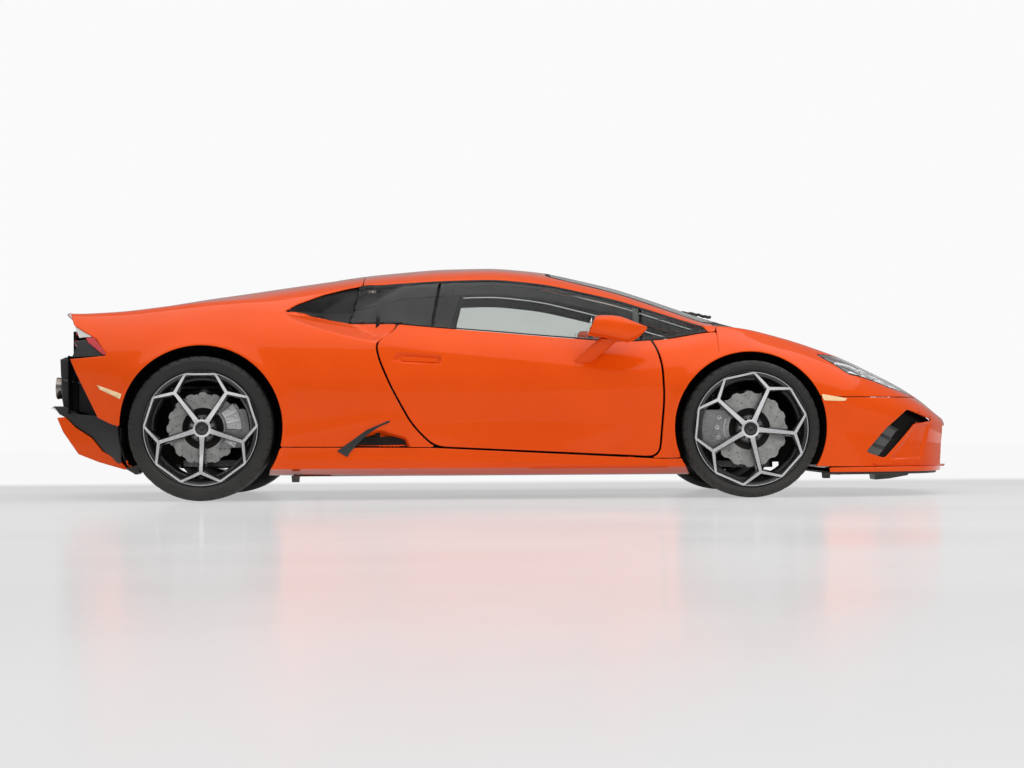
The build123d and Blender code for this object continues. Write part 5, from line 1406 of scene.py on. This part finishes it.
slab("rear_frame_steps", [(-2.100, .590), (-1.965, .566), (-1.965, .556), (-2.100, .580)], .690, .667, GREY_PLASTIC,
     bevel=.001)


def hexagon_mesh(name, corner, size, pitch, wall, bow):
    """A sheet of hexagon holes that spans the car's end. In its plane (a, b) the field is the wall's half width less
    the distance to the nearest cell edge, and the distance to a cell's edge is pitch/2 less the largest of its three
    hexagon coordinates."""
    step = .0032
    a, b = np.meshgrid(np.arange(0, size[0], step), np.arange(0, size[1], step), indexing="ij")
    best, row = np.full(a.shape, -1.0), math.sqrt(3) / 2
    for shift in ((0, 0), (.5, row)):
        u = (a / pitch - shift[0] + .5) % 1 - .5
        v = (b / pitch - shift[1] + row) % (2 * row) - row
        reach = np.maximum.reduce([np.abs(u), np.abs(u / 2 + v * row), np.abs(u / 2 - v * row)])
        best = np.maximum(best, .5 - reach)
    field = (wall / 2 - best * pitch).ravel()
    border = np.minimum.reduce([a, size[0] - step - a, b, size[1] - step - b]).ravel()
    field = np.maximum(field, .006 - border)
    middle = 1 - ((a - size[0] / 2) / (size[0] / 2)) ** 2
    points = np.array(corner) + a.reshape(-1, 1) * [0, 1.0, 0] + b.reshape(-1, 1) * [0, 0, 1.0]
    points[:, 0] += bow * middle.ravel()
    tris = triangles(grid_faces(*a.shape))
    points, tris = clip(np.column_stack([points, field]), tris, field)
    return thicken(joined_flats(make_mesh(name, points, tris, BLACK_PLASTIC, smooth=False)), .004, offset=0)


rear_mesh = hexagon_mesh("rear_mesh", (-2.092, -.645, .495), (1.29, .165), .030, .0045, bow=-.018)
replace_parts(rear_mesh, "rear_fascia")
# A near-black sheet behind the rear mesh: partly the car's dark inner panel, partly painted shade seen through the
# mesh.
bowed("rear_inner_panel", [(-2.058, .70), (-2.062, .70), (-2.062, .42), (-2.058, .42)], .80, 0, -2.0, SHADOW_BLACK)


def turned_along(name, profile, y, z, material, node=None):
    """A profile of (x, radius) turned about a line along the car, closed from its last point to its first."""
    count = 56
    t = np.linspace(0, 2 * math.pi, count, endpoint=False)
    profile = np.asarray(profile, float)
    points = np.stack([np.broadcast_to(profile[:, :1], (len(profile), count)), y + profile[:, 1:] * np.cos(t),
                       z + profile[:, 1:] * np.sin(t)], 2)
    faces = grid_faces(len(profile), count, True, True).tolist()
    piece = outward(make_mesh(name, *on_sides(points.reshape(-1, 3), faces, BOTH), material, "car", sharp=40))
    if node:
        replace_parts(piece, node)
    return piece


turned_along("exhaust_tips", [(-2.060, .050), (-2.185, .053), (-2.195, .055), (-2.200, .053), (-2.200, .050),
                              (-2.195, .048), (-2.150, .046), (-2.060, .044)],
             .275, .552, PIPE_METAL, node="exhausts")
turned_along("exhaust_collars", [(-2.070, .058), (-2.165, .062), (-2.172, .060), (-2.172, .0555), (-2.070, .0555)],
             .275, .552, BLACK_GLOSS)
# A near-black plug deep in each tip is painted shade of the bore.
turned_along("exhaust_bores", [(-2.060, .0435), (-2.110, .0435), (-2.112, .001), (-2.060, .001)], .275, .552,
             SHADOW_BLACK)
print("tail lamps, frame and exhausts made")

# %% Diffuser and strakes
DIFFUSER_SIDE = [(-2.143, .458), (-2.088, .457), (-2.016, .418), (-1.916, .411), (-1.800, .350), (-1.800, .186),
                 (-1.815, .180), (-1.893, .240), (-1.949, .306), (-2.032, .358), (-2.085, .405), (-2.112, .418)]
outer = np.interp([p[0] for p in DIFFUSER_SIDE], [-2.143, -1.90, -1.815], [.735, .80, .845])
slab("diffuser_cheeks", DIFFUSER_SIDE, outer, .54, BLACK_PLASTIC, bevel=.004)
STRAKE = [(-2.124, .402), (-2.082, .406), (-2.032, .356), (-1.949, .304), (-1.893, .238), (-1.805, .192),
          (-1.771, .155), (-1.782, .150), (-1.916, .188), (-2.016, .226), (-2.093, .333)]
outer = np.interp([p[0] for p in STRAKE], [-2.124, -1.90, -1.771], [.752, .815, .848])
slab("tail_strakes", STRAKE, outer, .555, PAINT, bevel=.006, segments=3)
slab("tail_flaps", [(-1.785, .158), (-1.731, .126), (-1.712, .137), (-1.715, .175)], .845, .70, BLACK_PLASTIC,
     bevel=.002)
bowed("diffuser_blade", [(-2.010, .416), (-2.088, .457), (-2.143, .459), (-2.150, .452), (-2.110, .425),
                         (-2.020, .385)], .60, .80, -2.02, BLACK_GLOSS)
bowed("diffuser_tray", [(-1.835, .150), (-1.950, .205), (-2.060, .315), (-2.105, .400), (-2.095, .405), (-2.045, .322),
                        (-1.940, .215), (-1.835, .162)],
             .56, .25, -1.84, BLACK_PLASTIC, "diffuser")
FIN = rounded([(-1.850, .152), (-1.940, .190), (-2.045, .236), (-2.118, .338), (-2.138, .398), (-2.090, .400),
               (-1.980, .270), (-1.850, .168)], .02, 4)
for number, y in enumerate((.105, .245, .385, .525)):
    slab(f"diffuser_fin_{number}", FIN, y + .005, y - .005, BLACK_GLOSS, bevel=.0015)
print("diffuser made")

# %% [markdown]
# The nose. The bumper has a slanting opening at each side with three vanes in it, and a wide one in the middle with a
# mesh. Everything behind is a near-black sheet that follows the bumper, partly duct and partly painted shade. A painted
# lip runs out along the bottom, and the headlamps are clear covers over a black bowl with a forked white light guide
# and two round lamps.

# %% Bumper openings
duct = within(face_on([(-.51, .10), (.51, .10), (.45, .342), (-.45, .342)]), lambda p: p[:, 0] - 1.98)
# The backing and the duct wall stand for the black ducts, and are made near-black as painted shade of the deep
# openings.
raised("bumper_backing", within(side([(1.70, .128), (2.35, .128), (2.35, .455), (1.70, .455)]),
                                outside(duct, front_arch)), SHADOW_BLACK, -.046, thickness=.004)
slab("front_duct_wall", [(2.030, .142), (2.030, .345), (2.036, .345), (2.036, .142)], .50, -.50, SHADOW_BLACK, "car",
     ONCE, .001)
VANE_STRIP = np.array([(1.764, .210), (1.890, .348), (1.948, .320), (1.834, .188)])
for number in range(3):
    low, high = number / 3, (number + 1) / 3
    left = VANE_STRIP[0] + (VANE_STRIP[1] - VANE_STRIP[0]) * np.array([[low], [high]])
    right = VANE_STRIP[3] + (VANE_STRIP[2] - VANE_STRIP[3]) * np.array([[low], [high]])
    outline = [left[0], left[1], right[1], right[0]]
    raised(f"intake_vanes_{number}", grown(side(outline), -.0015), GREY_PLASTIC, -.010 - .004 * number, thickness=.006)
    edge = [left[1] - [.004, .012], left[1], right[1], right[1] - [.004, .012]]
    raised(f"intake_vane_lips_{number}", side(edge), BLACK_PLASTIC, -.007 - .004 * number, thickness=.006)
front_mesh = hexagon_mesh("front_mesh", (2.085, -.49, .148), (.98, .190), .026, .004, bow=.055)
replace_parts(front_mesh, "front_grilles")


def sheet_of(name, outline, top, low, material, bevel=.002, node=None):
    """An outline of (x, y) points between two heights, each a number or one height for each point."""
    flat = slab(name, outline, 1.0, 0.0, material, "car", ONCE, 0)
    points = np.array([v.co for v in flat.data.vertices])
    count = len(points) // 2
    order = [int(((np.asarray(outline) - p) ** 2).sum(1).argmin()) for p in points[:count, [0, 2]]]
    heights = [np.broadcast_to(h, len(outline))[order] for h in (top, low)]
    faces = [tuple(f.vertices) for f in flat.data.polygons]
    bpy.data.objects.remove(flat)
    solid = np.column_stack([points[:, 0], points[:, 2], np.concatenate(heights)])
    piece = soften(outward(make_mesh(name, solid, faces, material, "car", sharp=40)), bevel)
    if node:
        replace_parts(piece, node)
    return piece


LIP_EDGE = [(1.585, .918), (1.70, .898), (1.85, .862), (1.95, .822), (2.05, .752), (2.12, .672), (2.185, .520),
            (2.225, .330), (2.246, .150), (2.250, 0)]
lip_outline = LIP_EDGE + [(x, -y) for x, y in LIP_EDGE[-2::-1]] + [(1.70, -.70), (1.70, .70)]
sheet_of("front_lip", lip_outline, [.1405 + .005 * max(0, x - 1.6) for x, y in lip_outline], .1180, PAINT, bevel=.004,
         node="splitter_front")
inner_lip = [(x - .020, y - .022) for x, y in LIP_EDGE[:-1]] + [(2.230, 0)]
inner_lip = inner_lip + [(x, -y) for x, y in inner_lip[-2::-1]] + [(1.62, -.72), (1.62, .72)]
sheet_of("front_undertray", inner_lip, .1175, .1060, BLACK_PLASTIC)
slab("lip_scoops", [(1.828, .107), (1.996, .107), (1.992, .098), (1.900, .082), (1.833, .077)], .730, .560,
     GREY_PLASTIC, bevel=.003)
slab("arch_flaps", [(1.563, .118), (1.599, .118), (1.597, .088), (1.566, .088)], .850, .790, BLACK_PLASTIC, bevel=.002)
slab("skirt_flaps", [(-.985, .118), (-.945, .118), (-.948, .086), (-.982, .086)], .880, .850, BLACK_PLASTIC, bevel=.002)
PLATE = [(2.150, .200), (2.178, .272), (2.196, .330), (2.206, .330), (2.212, .205)]
slab("nose_plate_holder", PLATE, .26, -.26, BLACK_PLASTIC, bevel=.004, sides=ONCE)
slab("nose_blank_plate", [(2.2065, .322), (2.2105, .322), (2.2165, .213), (2.2125, .213)], .25, -.25, GREY_PLASTIC,
     bevel=.001, sides=ONCE)
print("nose made")

# %% Headlamps
raised("headlamp_bowls", grown(lamp_fields, -.004), BLACK_GLOSS, -.030, thickness=.004)


def on_body(xy, sink):
    """The points of the body's top at these (x, y), moved in along its normal by sink."""
    xy = np.asarray(xy, float)
    x, y, z = BODY_POINTS[None, :, :3].transpose(2, 0, 1)
    near = ((x - xy[:, :1]) ** 2 + (y - xy[:, 1:]) ** 2 - .004 * (z > .4)).argmin(1)
    return np.column_stack([xy, BODY_POINTS[near, 2]]) - BODY_POINTS[near, 3:6] * sink


GUIDES = ([(1.640, .770), (1.760, .675), (1.850, .590)], [(1.850, .590), (1.930, .530), (2.005, .495)],
          [(1.850, .590), (1.930, .590), (1.985, .575)], [(1.700, .800), (1.800, .735), (1.905, .665)])
for number, path in enumerate(GUIDES):
    tube(f"headlamp_guide_{number}", on_body(through(np.array(path), 16), .017), .0058, LIGHT_GUIDE)
for number, (x, y) in enumerate(((1.795, .685), (1.905, .600))):
    centre = on_body(np.array([(x, y)]), .020)[0]
    rings = [rounded_ring(centre + [0, 0, h], (r, 0, 0), (0, r, 0), 2, 32) for r, h in
             ((.026, -.016), (.027, .002), (.024, .005), (.021, .002), (.016, .007), (.009, .010), (.001, .011))]
    loft(f"headlamp_lamp_{number}", rings, GREY_LENS, "car", BOTH)
raised("headlamp_rims", within(grown(lamp_fields, .0), outside(grown(lamp_fields, -.005))), BLACK_GLOSS, -.0015,
       thickness=.012)
print("headlamps made")

# %% [markdown]
# The windscreen gets its black printed border, a scuttle behind the bonnet and one long wiper. The engine cover has a
# black panel with cross slats sunk into it, through which the engine gets its air.

# %% Wiper, windscreen border and deck slats
raised("windscreen_border", within(windscreen_field, outside(grown(windscreen_field, -.022))), SOFT_SEAL, .0006,
       thickness=.0012)
wiper_arm = on_body(through(np.array([(1.085, -.14), (1.02, -.02), (.95, .16), (.90, .30)]), 20), -.016)
tube("wiper_arm", wiper_arm, np.linspace(.008, .0045, 20), BLACK_PLASTIC, sides=ONCE)
wiper_blade = on_body(through(np.array([(1.02, -.12), (.955, .18), (.865, .52)]), 24), -.0065)
tube("wiper_blade", wiper_blade, .0042, SOFT_SEAL, sides=ONCE)
raised("deck_panel", grown(plan(DECK), -.004), BLACK_PLASTIC, .0012, "engine_cover", thickness=.003, extra=[deck_dip])
slats = []
for number in range(7):
    x = -.860 - .108 * number
    slats.append(plan([(x, .252), (x - .072, .246), (x - .072, -.246), (x, -.252)]))
slat_field = lambda p: np.maximum.reduce([field(p) for field in slats])
raised("deck_slats", slat_field, BLACK_GLOSS, .0085, "engine_cover", thickness=.006, extra=[deck_dip])
print("screen and deck made")

# %% [markdown]
# The cabin. A black lining follows the body under the roof, down the pillars and round the side windows, so the glass
# shows a dark room behind it. Behind the seats a padded wall closes it off from the engine.

# %% Lining and rear wall
def lining(name, field, depth, *extra):
    """A soft lining at this depth inside the body's skin."""
    panel(name, field, SUEDE, None, "car", .004, .001, BOTH, .0, [(everywhere, depth, .02), *extra])


lining("roof_lining", within(roof_field, lambda p: p[:, 0] + .630), .026)
window_top = np.array(line_trace("rail", -.62, XF - .215, -.014, 40))


def under_rail(depth):
    """Where a point of the body is less than depth under the rail, along the side windows."""
    return lambda p: p[:, 2] - (np.interp(p[:, 0], window_top[:, 0], window_top[:, 1]) - depth)


lining("cant_rail_linings", within(grown(window_field, -.001), under_rail(.050), lambda p: p[:, 0] + .70), .036,
       pane_tuck)
lining("rear_pillar_linings", within(grown(window_field, .02), lambda p: (-.235 + .25 * (p[:, 2] - .80)) - p[:, 0],
                                     lambda p: p[:, 0] + .72), .044, pane_tuck)


def cross_wall(name, outline, rear, front, material, bevel=.004):
    """An outline of (y, z) points between two stations along the car."""
    outline = np.asarray(outline, float)
    count, ring = len(outline), np.arange(len(outline))
    points = np.concatenate([np.column_stack([np.full(count, x), outline]) for x in (rear, front)])
    faces = [tuple(ring), tuple(count + ring[::-1])] + grid_faces(2, count, close_columns=True).tolist()
    return soften(outward(make_mesh(name, points, faces, material, "car", sharp=40)), bevel)


cross_wall("cabin_rear_wall", rounded([(-.60, .20), (.60, .20), (.60, .80), (.50, .88), (-.50, .88), (-.60, .80)], .05),
           -.598, -.575, SUEDE)
cross_wall("cabin_rear_window", rounded([(-.44, .885), (.44, .885), (.38, 1.035), (-.38, 1.035)], .03), -.592, -.586,
           SCREEN, .001)
print("cabin lined")

# %% [markdown]
# Each seat is a hard shell with three pads on it. A pad starts as rings along a line, low in the middle and high at
# its bolsters. It is remeshed evenly, filled with air as cloth until it is taut, and only then gets its sewn channels,
# which are lines that pull the leather in. The pads of the right seat are the same shapes, mirrored.

# %% Seats
SEAT_Y = .370
SHELL = rounded([(.146, .142), (.146, .262), (.100, .280), (-.250, .238), (-.300, .290), (-.400, .520), (-.487, .775),
                 (-.478, .955), (-.494, .972), (-.531, .700), (-.487, .400), (-.448, .142)], .03)


PAD_RINGS, PAD_POINTS = 30, 72  # rings along a pad, and points round each
PAD_SQUARE, PAD_SOFT = 3.4, 2.6  # powers of the pad's rounded section, sideways and in thickness
FILL_FRAMES, FILL_PRESSURE = 20, 4.0


def pad_rings(start, end, half, thick, dish):
    """Rings of a pad on the line from start to end, both (x, z), on the side that the seated person is. Across, the top
    is low in the middle and rises to the bolsters; the form closes in at both ends."""
    along = np.array(end) - start
    length = np.hypot(*along)
    along = along / length
    out = np.array([-along[1], along[0]])
    if out[1] < 0 or (abs(along[1]) > .7 and out[0] < 0):
        out = -out
    s = np.sin(np.linspace(-math.pi / 2, math.pi / 2, PAD_RINGS)) * .998
    t = np.linspace(0, 2 * math.pi, PAD_POINTS, endpoint=False)
    a = np.sign(np.cos(t)) * np.abs(np.cos(t)) ** (2 / PAD_SQUARE)
    b = np.sign(np.sin(t)) * np.abs(np.sin(t)) ** (2 / PAD_SOFT)
    top = thick * (1 - dish + dish * ramp(np.abs(a), .42, .78))
    lift = np.where(b > 0, b * top, b * thick * .10)
    shrink = (1 - np.abs(s) ** 3.2) ** (1 / 3.2)
    side_in = 1 - .035 * (1 - np.abs(s) ** 2)
    y = half * (a[None, :] * (.80 + .20 * shrink[:, None]) * side_in[:, None])
    up = lift[None, :] * shrink[:, None]
    place = np.array(start) + along * (length * (s[:, None] + 1) / 2)
    x = place[:, :1] + up * out[0]
    z = place[:, 1:] + up * out[1]
    return np.stack([x, y + SEAT_Y, z], 2), out


def filled(piece, cap):
    """Blows the piece up as cloth under pressure, with no gravity, and lets no point move further than cap."""
    before = np.array([v.co for v in piece.data.vertices])
    cloth = piece.modifiers.new("Fill", "CLOTH")
    cloth.settings.use_pressure, cloth.settings.uniform_pressure_force = True, FILL_PRESSURE
    cloth.settings.effector_weights.gravity, cloth.settings.quality = 0.0, 4
    cloth.point_cache.frame_start, cloth.point_cache.frame_end = 1, FILL_FRAMES
    for number in range(1, FILL_FRAMES + 1):
        bpy.context.scene.frame_set(number)
    after = np.array([v.co for v in piece.evaluated_get(bpy.context.evaluated_depsgraph_get()).data.vertices])
    piece.modifiers.remove(cloth)
    bpy.context.scene.frame_set(1)
    move = after - before
    reach = np.linalg.norm(move, axis=1, keepdims=True)
    return before + move * np.minimum(1, cap / np.maximum(reach, 1e-9))


def padded_pair(name, start, end, half, thick, dish, channels, seams, cap, voxel, material):
    """Two mirrored pads: rings, even remesh, filling, sewn channels across and seams along, then one subdivision."""
    rings, out = pad_rings(start, end, half, thick, dish)
    raw = loft(name + "_raw", rings, material, "car", ONCE)
    remesh = raw.modifiers.new("Even", "REMESH")
    remesh.mode, remesh.voxel_size = "VOXEL", voxel
    even = bpy.data.meshes.new_from_object(raw.evaluated_get(bpy.context.evaluated_depsgraph_get()))
    bpy.data.objects.remove(raw)
    work = bpy.data.objects.new(name + "_work", even)
    bpy.context.scene.collection.objects.link(work)
    points = filled(work, cap)
    faces = [tuple(f.vertices) for f in even.polygons]
    bpy.data.objects.remove(work)
    along = (np.array(end) - start) / np.hypot(*(np.array(end) - start))
    way = points[:, [0, 2]] - start
    run, height, across = way @ along, way @ out, np.abs(points[:, 1] - SEAT_Y)
    face = ramp(height, thick * .25, thick * .6)
    pull = np.zeros(len(points))
    for channel in channels:
        pull = np.maximum(pull, .0055 * np.exp(-((run - channel) / .0075) ** 2)
                          * (1 - ramp(across, seams - .012, seams)))
    pull = np.maximum(pull, .0070 * np.exp(-((across - seams) / .0070) ** 2))
    points[:, 0] -= pull * face * out[0]
    points[:, 2] -= pull * face * out[1]
    for label, sign in LEFT_AND_RIGHT:
        pad = make_mesh(f"{name}_{label}", points * [1, sign, 1], faces if sign > 0 else [f[::-1] for f in faces],
                        material, "car", sharp=0)
        finer = pad.modifiers.new("Finer", "SUBSURF")
        finer.levels = finer.render_levels = 1
    return len(faces)


slab("seat_shells", SHELL, SEAT_Y + .231, SEAT_Y - .231, BLACK_GLOSS, "car", BOTH, .010, "seats", 3)
sizes = [padded_pair("seat_cushion", (.126, .282), (-.240, .243), .214, .052, .30, (.09, .17, .25), .128, .008, .008,
                     LEATHER),
         padded_pair("seat_back", (-.318, .300), (-.484, .778), .212, .048, .30, (.12, .20, .28, .36), .122, .008, .008,
                     LEATHER),
         padded_pair("seat_headrest", (-.486, .800), (-.476, .950), .120, .052, .12, (.075,), .085, .007, .007,
                     SUEDE)]
print("pads made, faces each:", sizes)

# %% [markdown]
# The steering wheel has a rim that is flattened below, a round hub and three spokes, on a short column. The
# instrument hood, blank displays, air vents and the tunnel's tray stand on the dashboard of the frame.

# %% Steering wheel and dashboard
WHEEL_AT = np.array([.440, SEAT_Y, .655])
COLUMN_TILT = math.radians(22)
ACROSS, FORWARD = np.array([0, 1.0, 0]), np.array([math.cos(COLUMN_TILT), 0, -math.sin(COLUMN_TILT)])
UPWARD = np.array([math.sin(COLUMN_TILT), 0, math.cos(COLUMN_TILT)])


def rim_ring(turn):
    """One ring of the steering wheel's rim, thicker at the grips and flattened at the bottom."""
    radius = min(.1705, .138 / max(-math.sin(turn), .05)) if math.sin(turn) < 0 else .1705
    radial = ACROSS * math.cos(turn) + UPWARD * math.sin(turn)
    thick = .0125 + .0015 * abs(math.cos(turn))
    return rounded_ring(WHEEL_AT + radial * radius, radial * thick, FORWARD * (thick - .0005), 2.2, 20)


rim = np.stack([rim_ring(turn) for turn in np.linspace(0, 2 * math.pi, 96, endpoint=False)])
steering_rim = make_mesh("steering_rim", rim.reshape(-1, 3), grid_faces(96, 20, True, True), SUEDE, "car", sharp=0)
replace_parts(steering_rim, "steering_wheel")
hub = [rounded_ring(WHEEL_AT + FORWARD * depth, ACROSS * wide, UPWARD * wide * .9, 3.0, 40)
       for depth, wide in ((-.0125, .030), (-.0120, .046), (-.006, .055), (.010, .055), (.0125, .048))]
loft("steering_hub", hub, LEATHER, "car", ONCE, sharp=30)
for number, turn in enumerate((0.10, math.pi - .10, -math.pi / 2)):
    radial = ACROSS * math.cos(turn) + UPWARD * math.sin(turn)
    sideways = np.cross(radial, FORWARD)
    reach = .128 if number == 2 else .160
    spoke = [rounded_ring(WHEEL_AT + radial * far, sideways * wide, FORWARD * .0065, 3.0, 16)
             for far, wide in ((.045, .024), (.09, .014), (reach, .012))]
    loft(f"steering_spoke_{number}", spoke, ALLOY, "car", ONCE, sharp=35)
column = [rounded_ring(WHEEL_AT + FORWARD * depth, ACROSS * wide, UPWARD * wide, 2.2, 32)
          for depth, wide in ((.010, .030), (.03, .034), (.14, .033))]
loft("steering_column", column, BLACK_PLASTIC, "car", ONCE, sharp=35)

hood_outline = rounded([(.545, .700), (.560, .795), (.640, .812), (.740, .800), (.740, .780), (.590, .770),
                        (.575, .700)], .012)
slab("instrument_hood", hood_outline, SEAT_Y + .165, SEAT_Y - .165, SUEDE, "car", ONCE, .006)
slab("instrument_screen", [(.574, .700), (.580, .765), (.590, .765), (.590, .700)], SEAT_Y + .140, SEAT_Y - .140,
     SCREEN, "car", ONCE, .001)
slab("centre_screen", [(.518, .500), (.548, .585), (.556, .582), (.556, .500)], .095, -.095, SCREEN, "car", ONCE, .002)
slab("dashboard_band", rounded([(.572, .640), (.572, .672), (.582, .672), (.582, .640)], .003), .740, -.740,
     BLACK_GLOSS, "car", ONCE, .001)
for number, y in enumerate((-.640, -.10, .10, .640)):
    for row in range(4):
        z = .690 + .014 * row
        slab(f"air_vent_{number}_{row}", [(.566, z), (.566, z + .005), (.582, z + .007), (.582, z + .002)], y + .040,
             y - .040, GREY_PLASTIC, "car", ONCE, .0008)
slab("tunnel_tray", rounded([(.165, .4205), (.165, .428), (.530, .436), (.530, .4205)], .003), .085, -.085, LEATHER,
     "car", ONCE, .003)
slab("tunnel_switch_plate", rounded([(.300, .4285), (.300, .438), (.500, .446), (.500, .4285)], .003), .045, -.045,
     ALLOY, "car", ONCE, .002)
print("steering wheel and dashboard dressed")

# %% [markdown]
# The studio: a pale floor, white air behind the car, a big soft light overhead, two at the side, and a camera far
# from the car with a long lens, so that the car is seen square from its right side.

# %% Floor
def floor_material():
    """Polished pale floor. What sees it straight, in gloss or through glass gets a part of plain white mixed in, and
    only white far from the car, so the floor runs into the white air without a line and the shadow stays soft."""
    material = bpy.data.materials.new("polished_pale_floor")
    material.use_nodes = True
    tree = material.node_tree
    shader = tree.nodes["Principled BSDF"]
    shader.inputs["Specular IOR Level"].default_value = 0.32
    clouds = effect(tree, CLOUDS, Scale=0.6)
    tree.links.new(mixed(tree, clouds.outputs["Mask"], (0.87, 0.87, 0.87), (0.85, 0.85, 0.855)),
                   shader.inputs["Base Color"])
    tree.links.new(ranged(tree, clouds.outputs["Mask"], 0.12, 0.18), shader.inputs["Roughness"])
    place = add_node(tree, "ShaderNodeTexCoord")
    parts = add_node(tree, "ShaderNodeSeparateXYZ", [(place.outputs["Object"], 0)])
    away = add_node(tree, "ShaderNodeMath", [(parts.outputs["X"], 0)], operation="ABSOLUTE").outputs["Value"]
    white = None
    for source, low, high in ((parts.outputs["Y"], 2.2, 3.6), (away, 4.0, 8.0), (parts.outputs["Y"], -12.0, -16.0)):
        span = add_node(tree, "ShaderNodeMapRange", [(source, "Value")], interpolation_type="SMOOTHSTEP",
                        From_Min=low, From_Max=high, To_Min=0.45).outputs["Result"]
        white = span if white is None else maths(tree, "MAXIMUM", white, span)
    path = add_node(tree, "ShaderNodeLightPath")
    seen = maths(tree, "MAXIMUM", path.outputs["Is Camera Ray"], path.outputs["Is Glossy Ray"])
    seen = maths(tree, "MAXIMUM", seen, path.outputs["Is Transmission Ray"])
    share = maths(tree, "MULTIPLY", seen, white)
    glow = add_node(tree, "ShaderNodeEmission", Color=(0.94, 0.94, 0.945, 1), Strength=1.0)
    both = add_node(tree, "ShaderNodeMixShader", [(share, 0), (shader.outputs[0], 1), (glow.outputs[0], 2)])
    tree.links.new(both.outputs[0], tree.nodes["Material Output"].inputs["Surface"])
    return material


mesh = bpy.data.meshes.new("studio_floor")
mesh.from_pydata([(x, y, 0.0) for y in (-30.0, 30.0) for x in (-30.0, 30.0)], [], grid_faces(2, 2).tolist())
mesh.materials.append(floor_material())
sheet = bpy.data.objects.new("studio_floor", mesh)
bpy.context.scene.collection.objects.link(sheet)
print("floor laid")


# %% Lights and camera
def soft_light(name, place, aim, size, watts):
    """A rectangular soft light at a place, turned to shine at a point."""
    lamp = bpy.data.lights.new(name, "AREA")
    lamp.shape, lamp.size, lamp.size_y, lamp.energy = "RECTANGLE", size[0], size[1], watts
    holder = bpy.data.objects.new(name, lamp)
    holder.location = place
    holder.rotation_euler = (Vector(aim) - Vector(place)).to_track_quat("-Z", "Y").to_euler()
    bpy.context.scene.collection.objects.link(holder)
    return holder


soft_light("ceiling_light", (0, -1.5, 6.5), (0, -0.5, 0), (16, 9), 640)
soft_light("side_light", (2.5, -12.0, 5.0), (0, 0, 0.5), (11, 4), 520).visible_glossy = False
soft_light("nose_light", (8.0, -8.5, 3.5), (1.9, -0.6, 0.4), (4, 3), 150).visible_glossy = False

world = bpy.data.worlds.new("studio_air")
bpy.context.scene.world = world
world.use_nodes = True
tree, air = world.node_tree, world.node_tree.nodes["Background"]
air.inputs["Color"].default_value = (0.955, 0.955, 0.96, 1)
path = tree.nodes.new("ShaderNodeLightPath")
clear = maths(tree, "MAXIMUM", path.outputs["Is Camera Ray"], path.outputs["Is Transmission Ray"])
gloss = add_node(tree, "ShaderNodeMapRange", [(path.outputs["Is Glossy Ray"], "Value")], To_Min=0.22, To_Max=0.36)
level = maths(tree, "MAXIMUM", clear, gloss.outputs["Result"])
tree.links.new(level, air.inputs["Strength"])
bpy.context.scene.view_settings.view_transform = "Standard"

eye = bpy.data.cameras.new("side_camera")
eye.lens, eye.sensor_width = 88.7, 36.0
eye.clip_end = 100
holder = bpy.data.objects.new("side_camera", eye)
holder.location = (-0.080, -12.95, 0.335)
look = (Vector((0.071, -0.955, 0.548)) - holder.location).to_track_quat("-Z", "Y")
holder.rotation_euler = (look.to_matrix() @ Matrix.Rotation(math.radians(-0.365), 3, "Z")).to_euler()
bpy.context.scene.collection.objects.link(holder)
bpy.context.scene.camera = holder
print("camera at", tuple(round(v, 3) for v in holder.location))
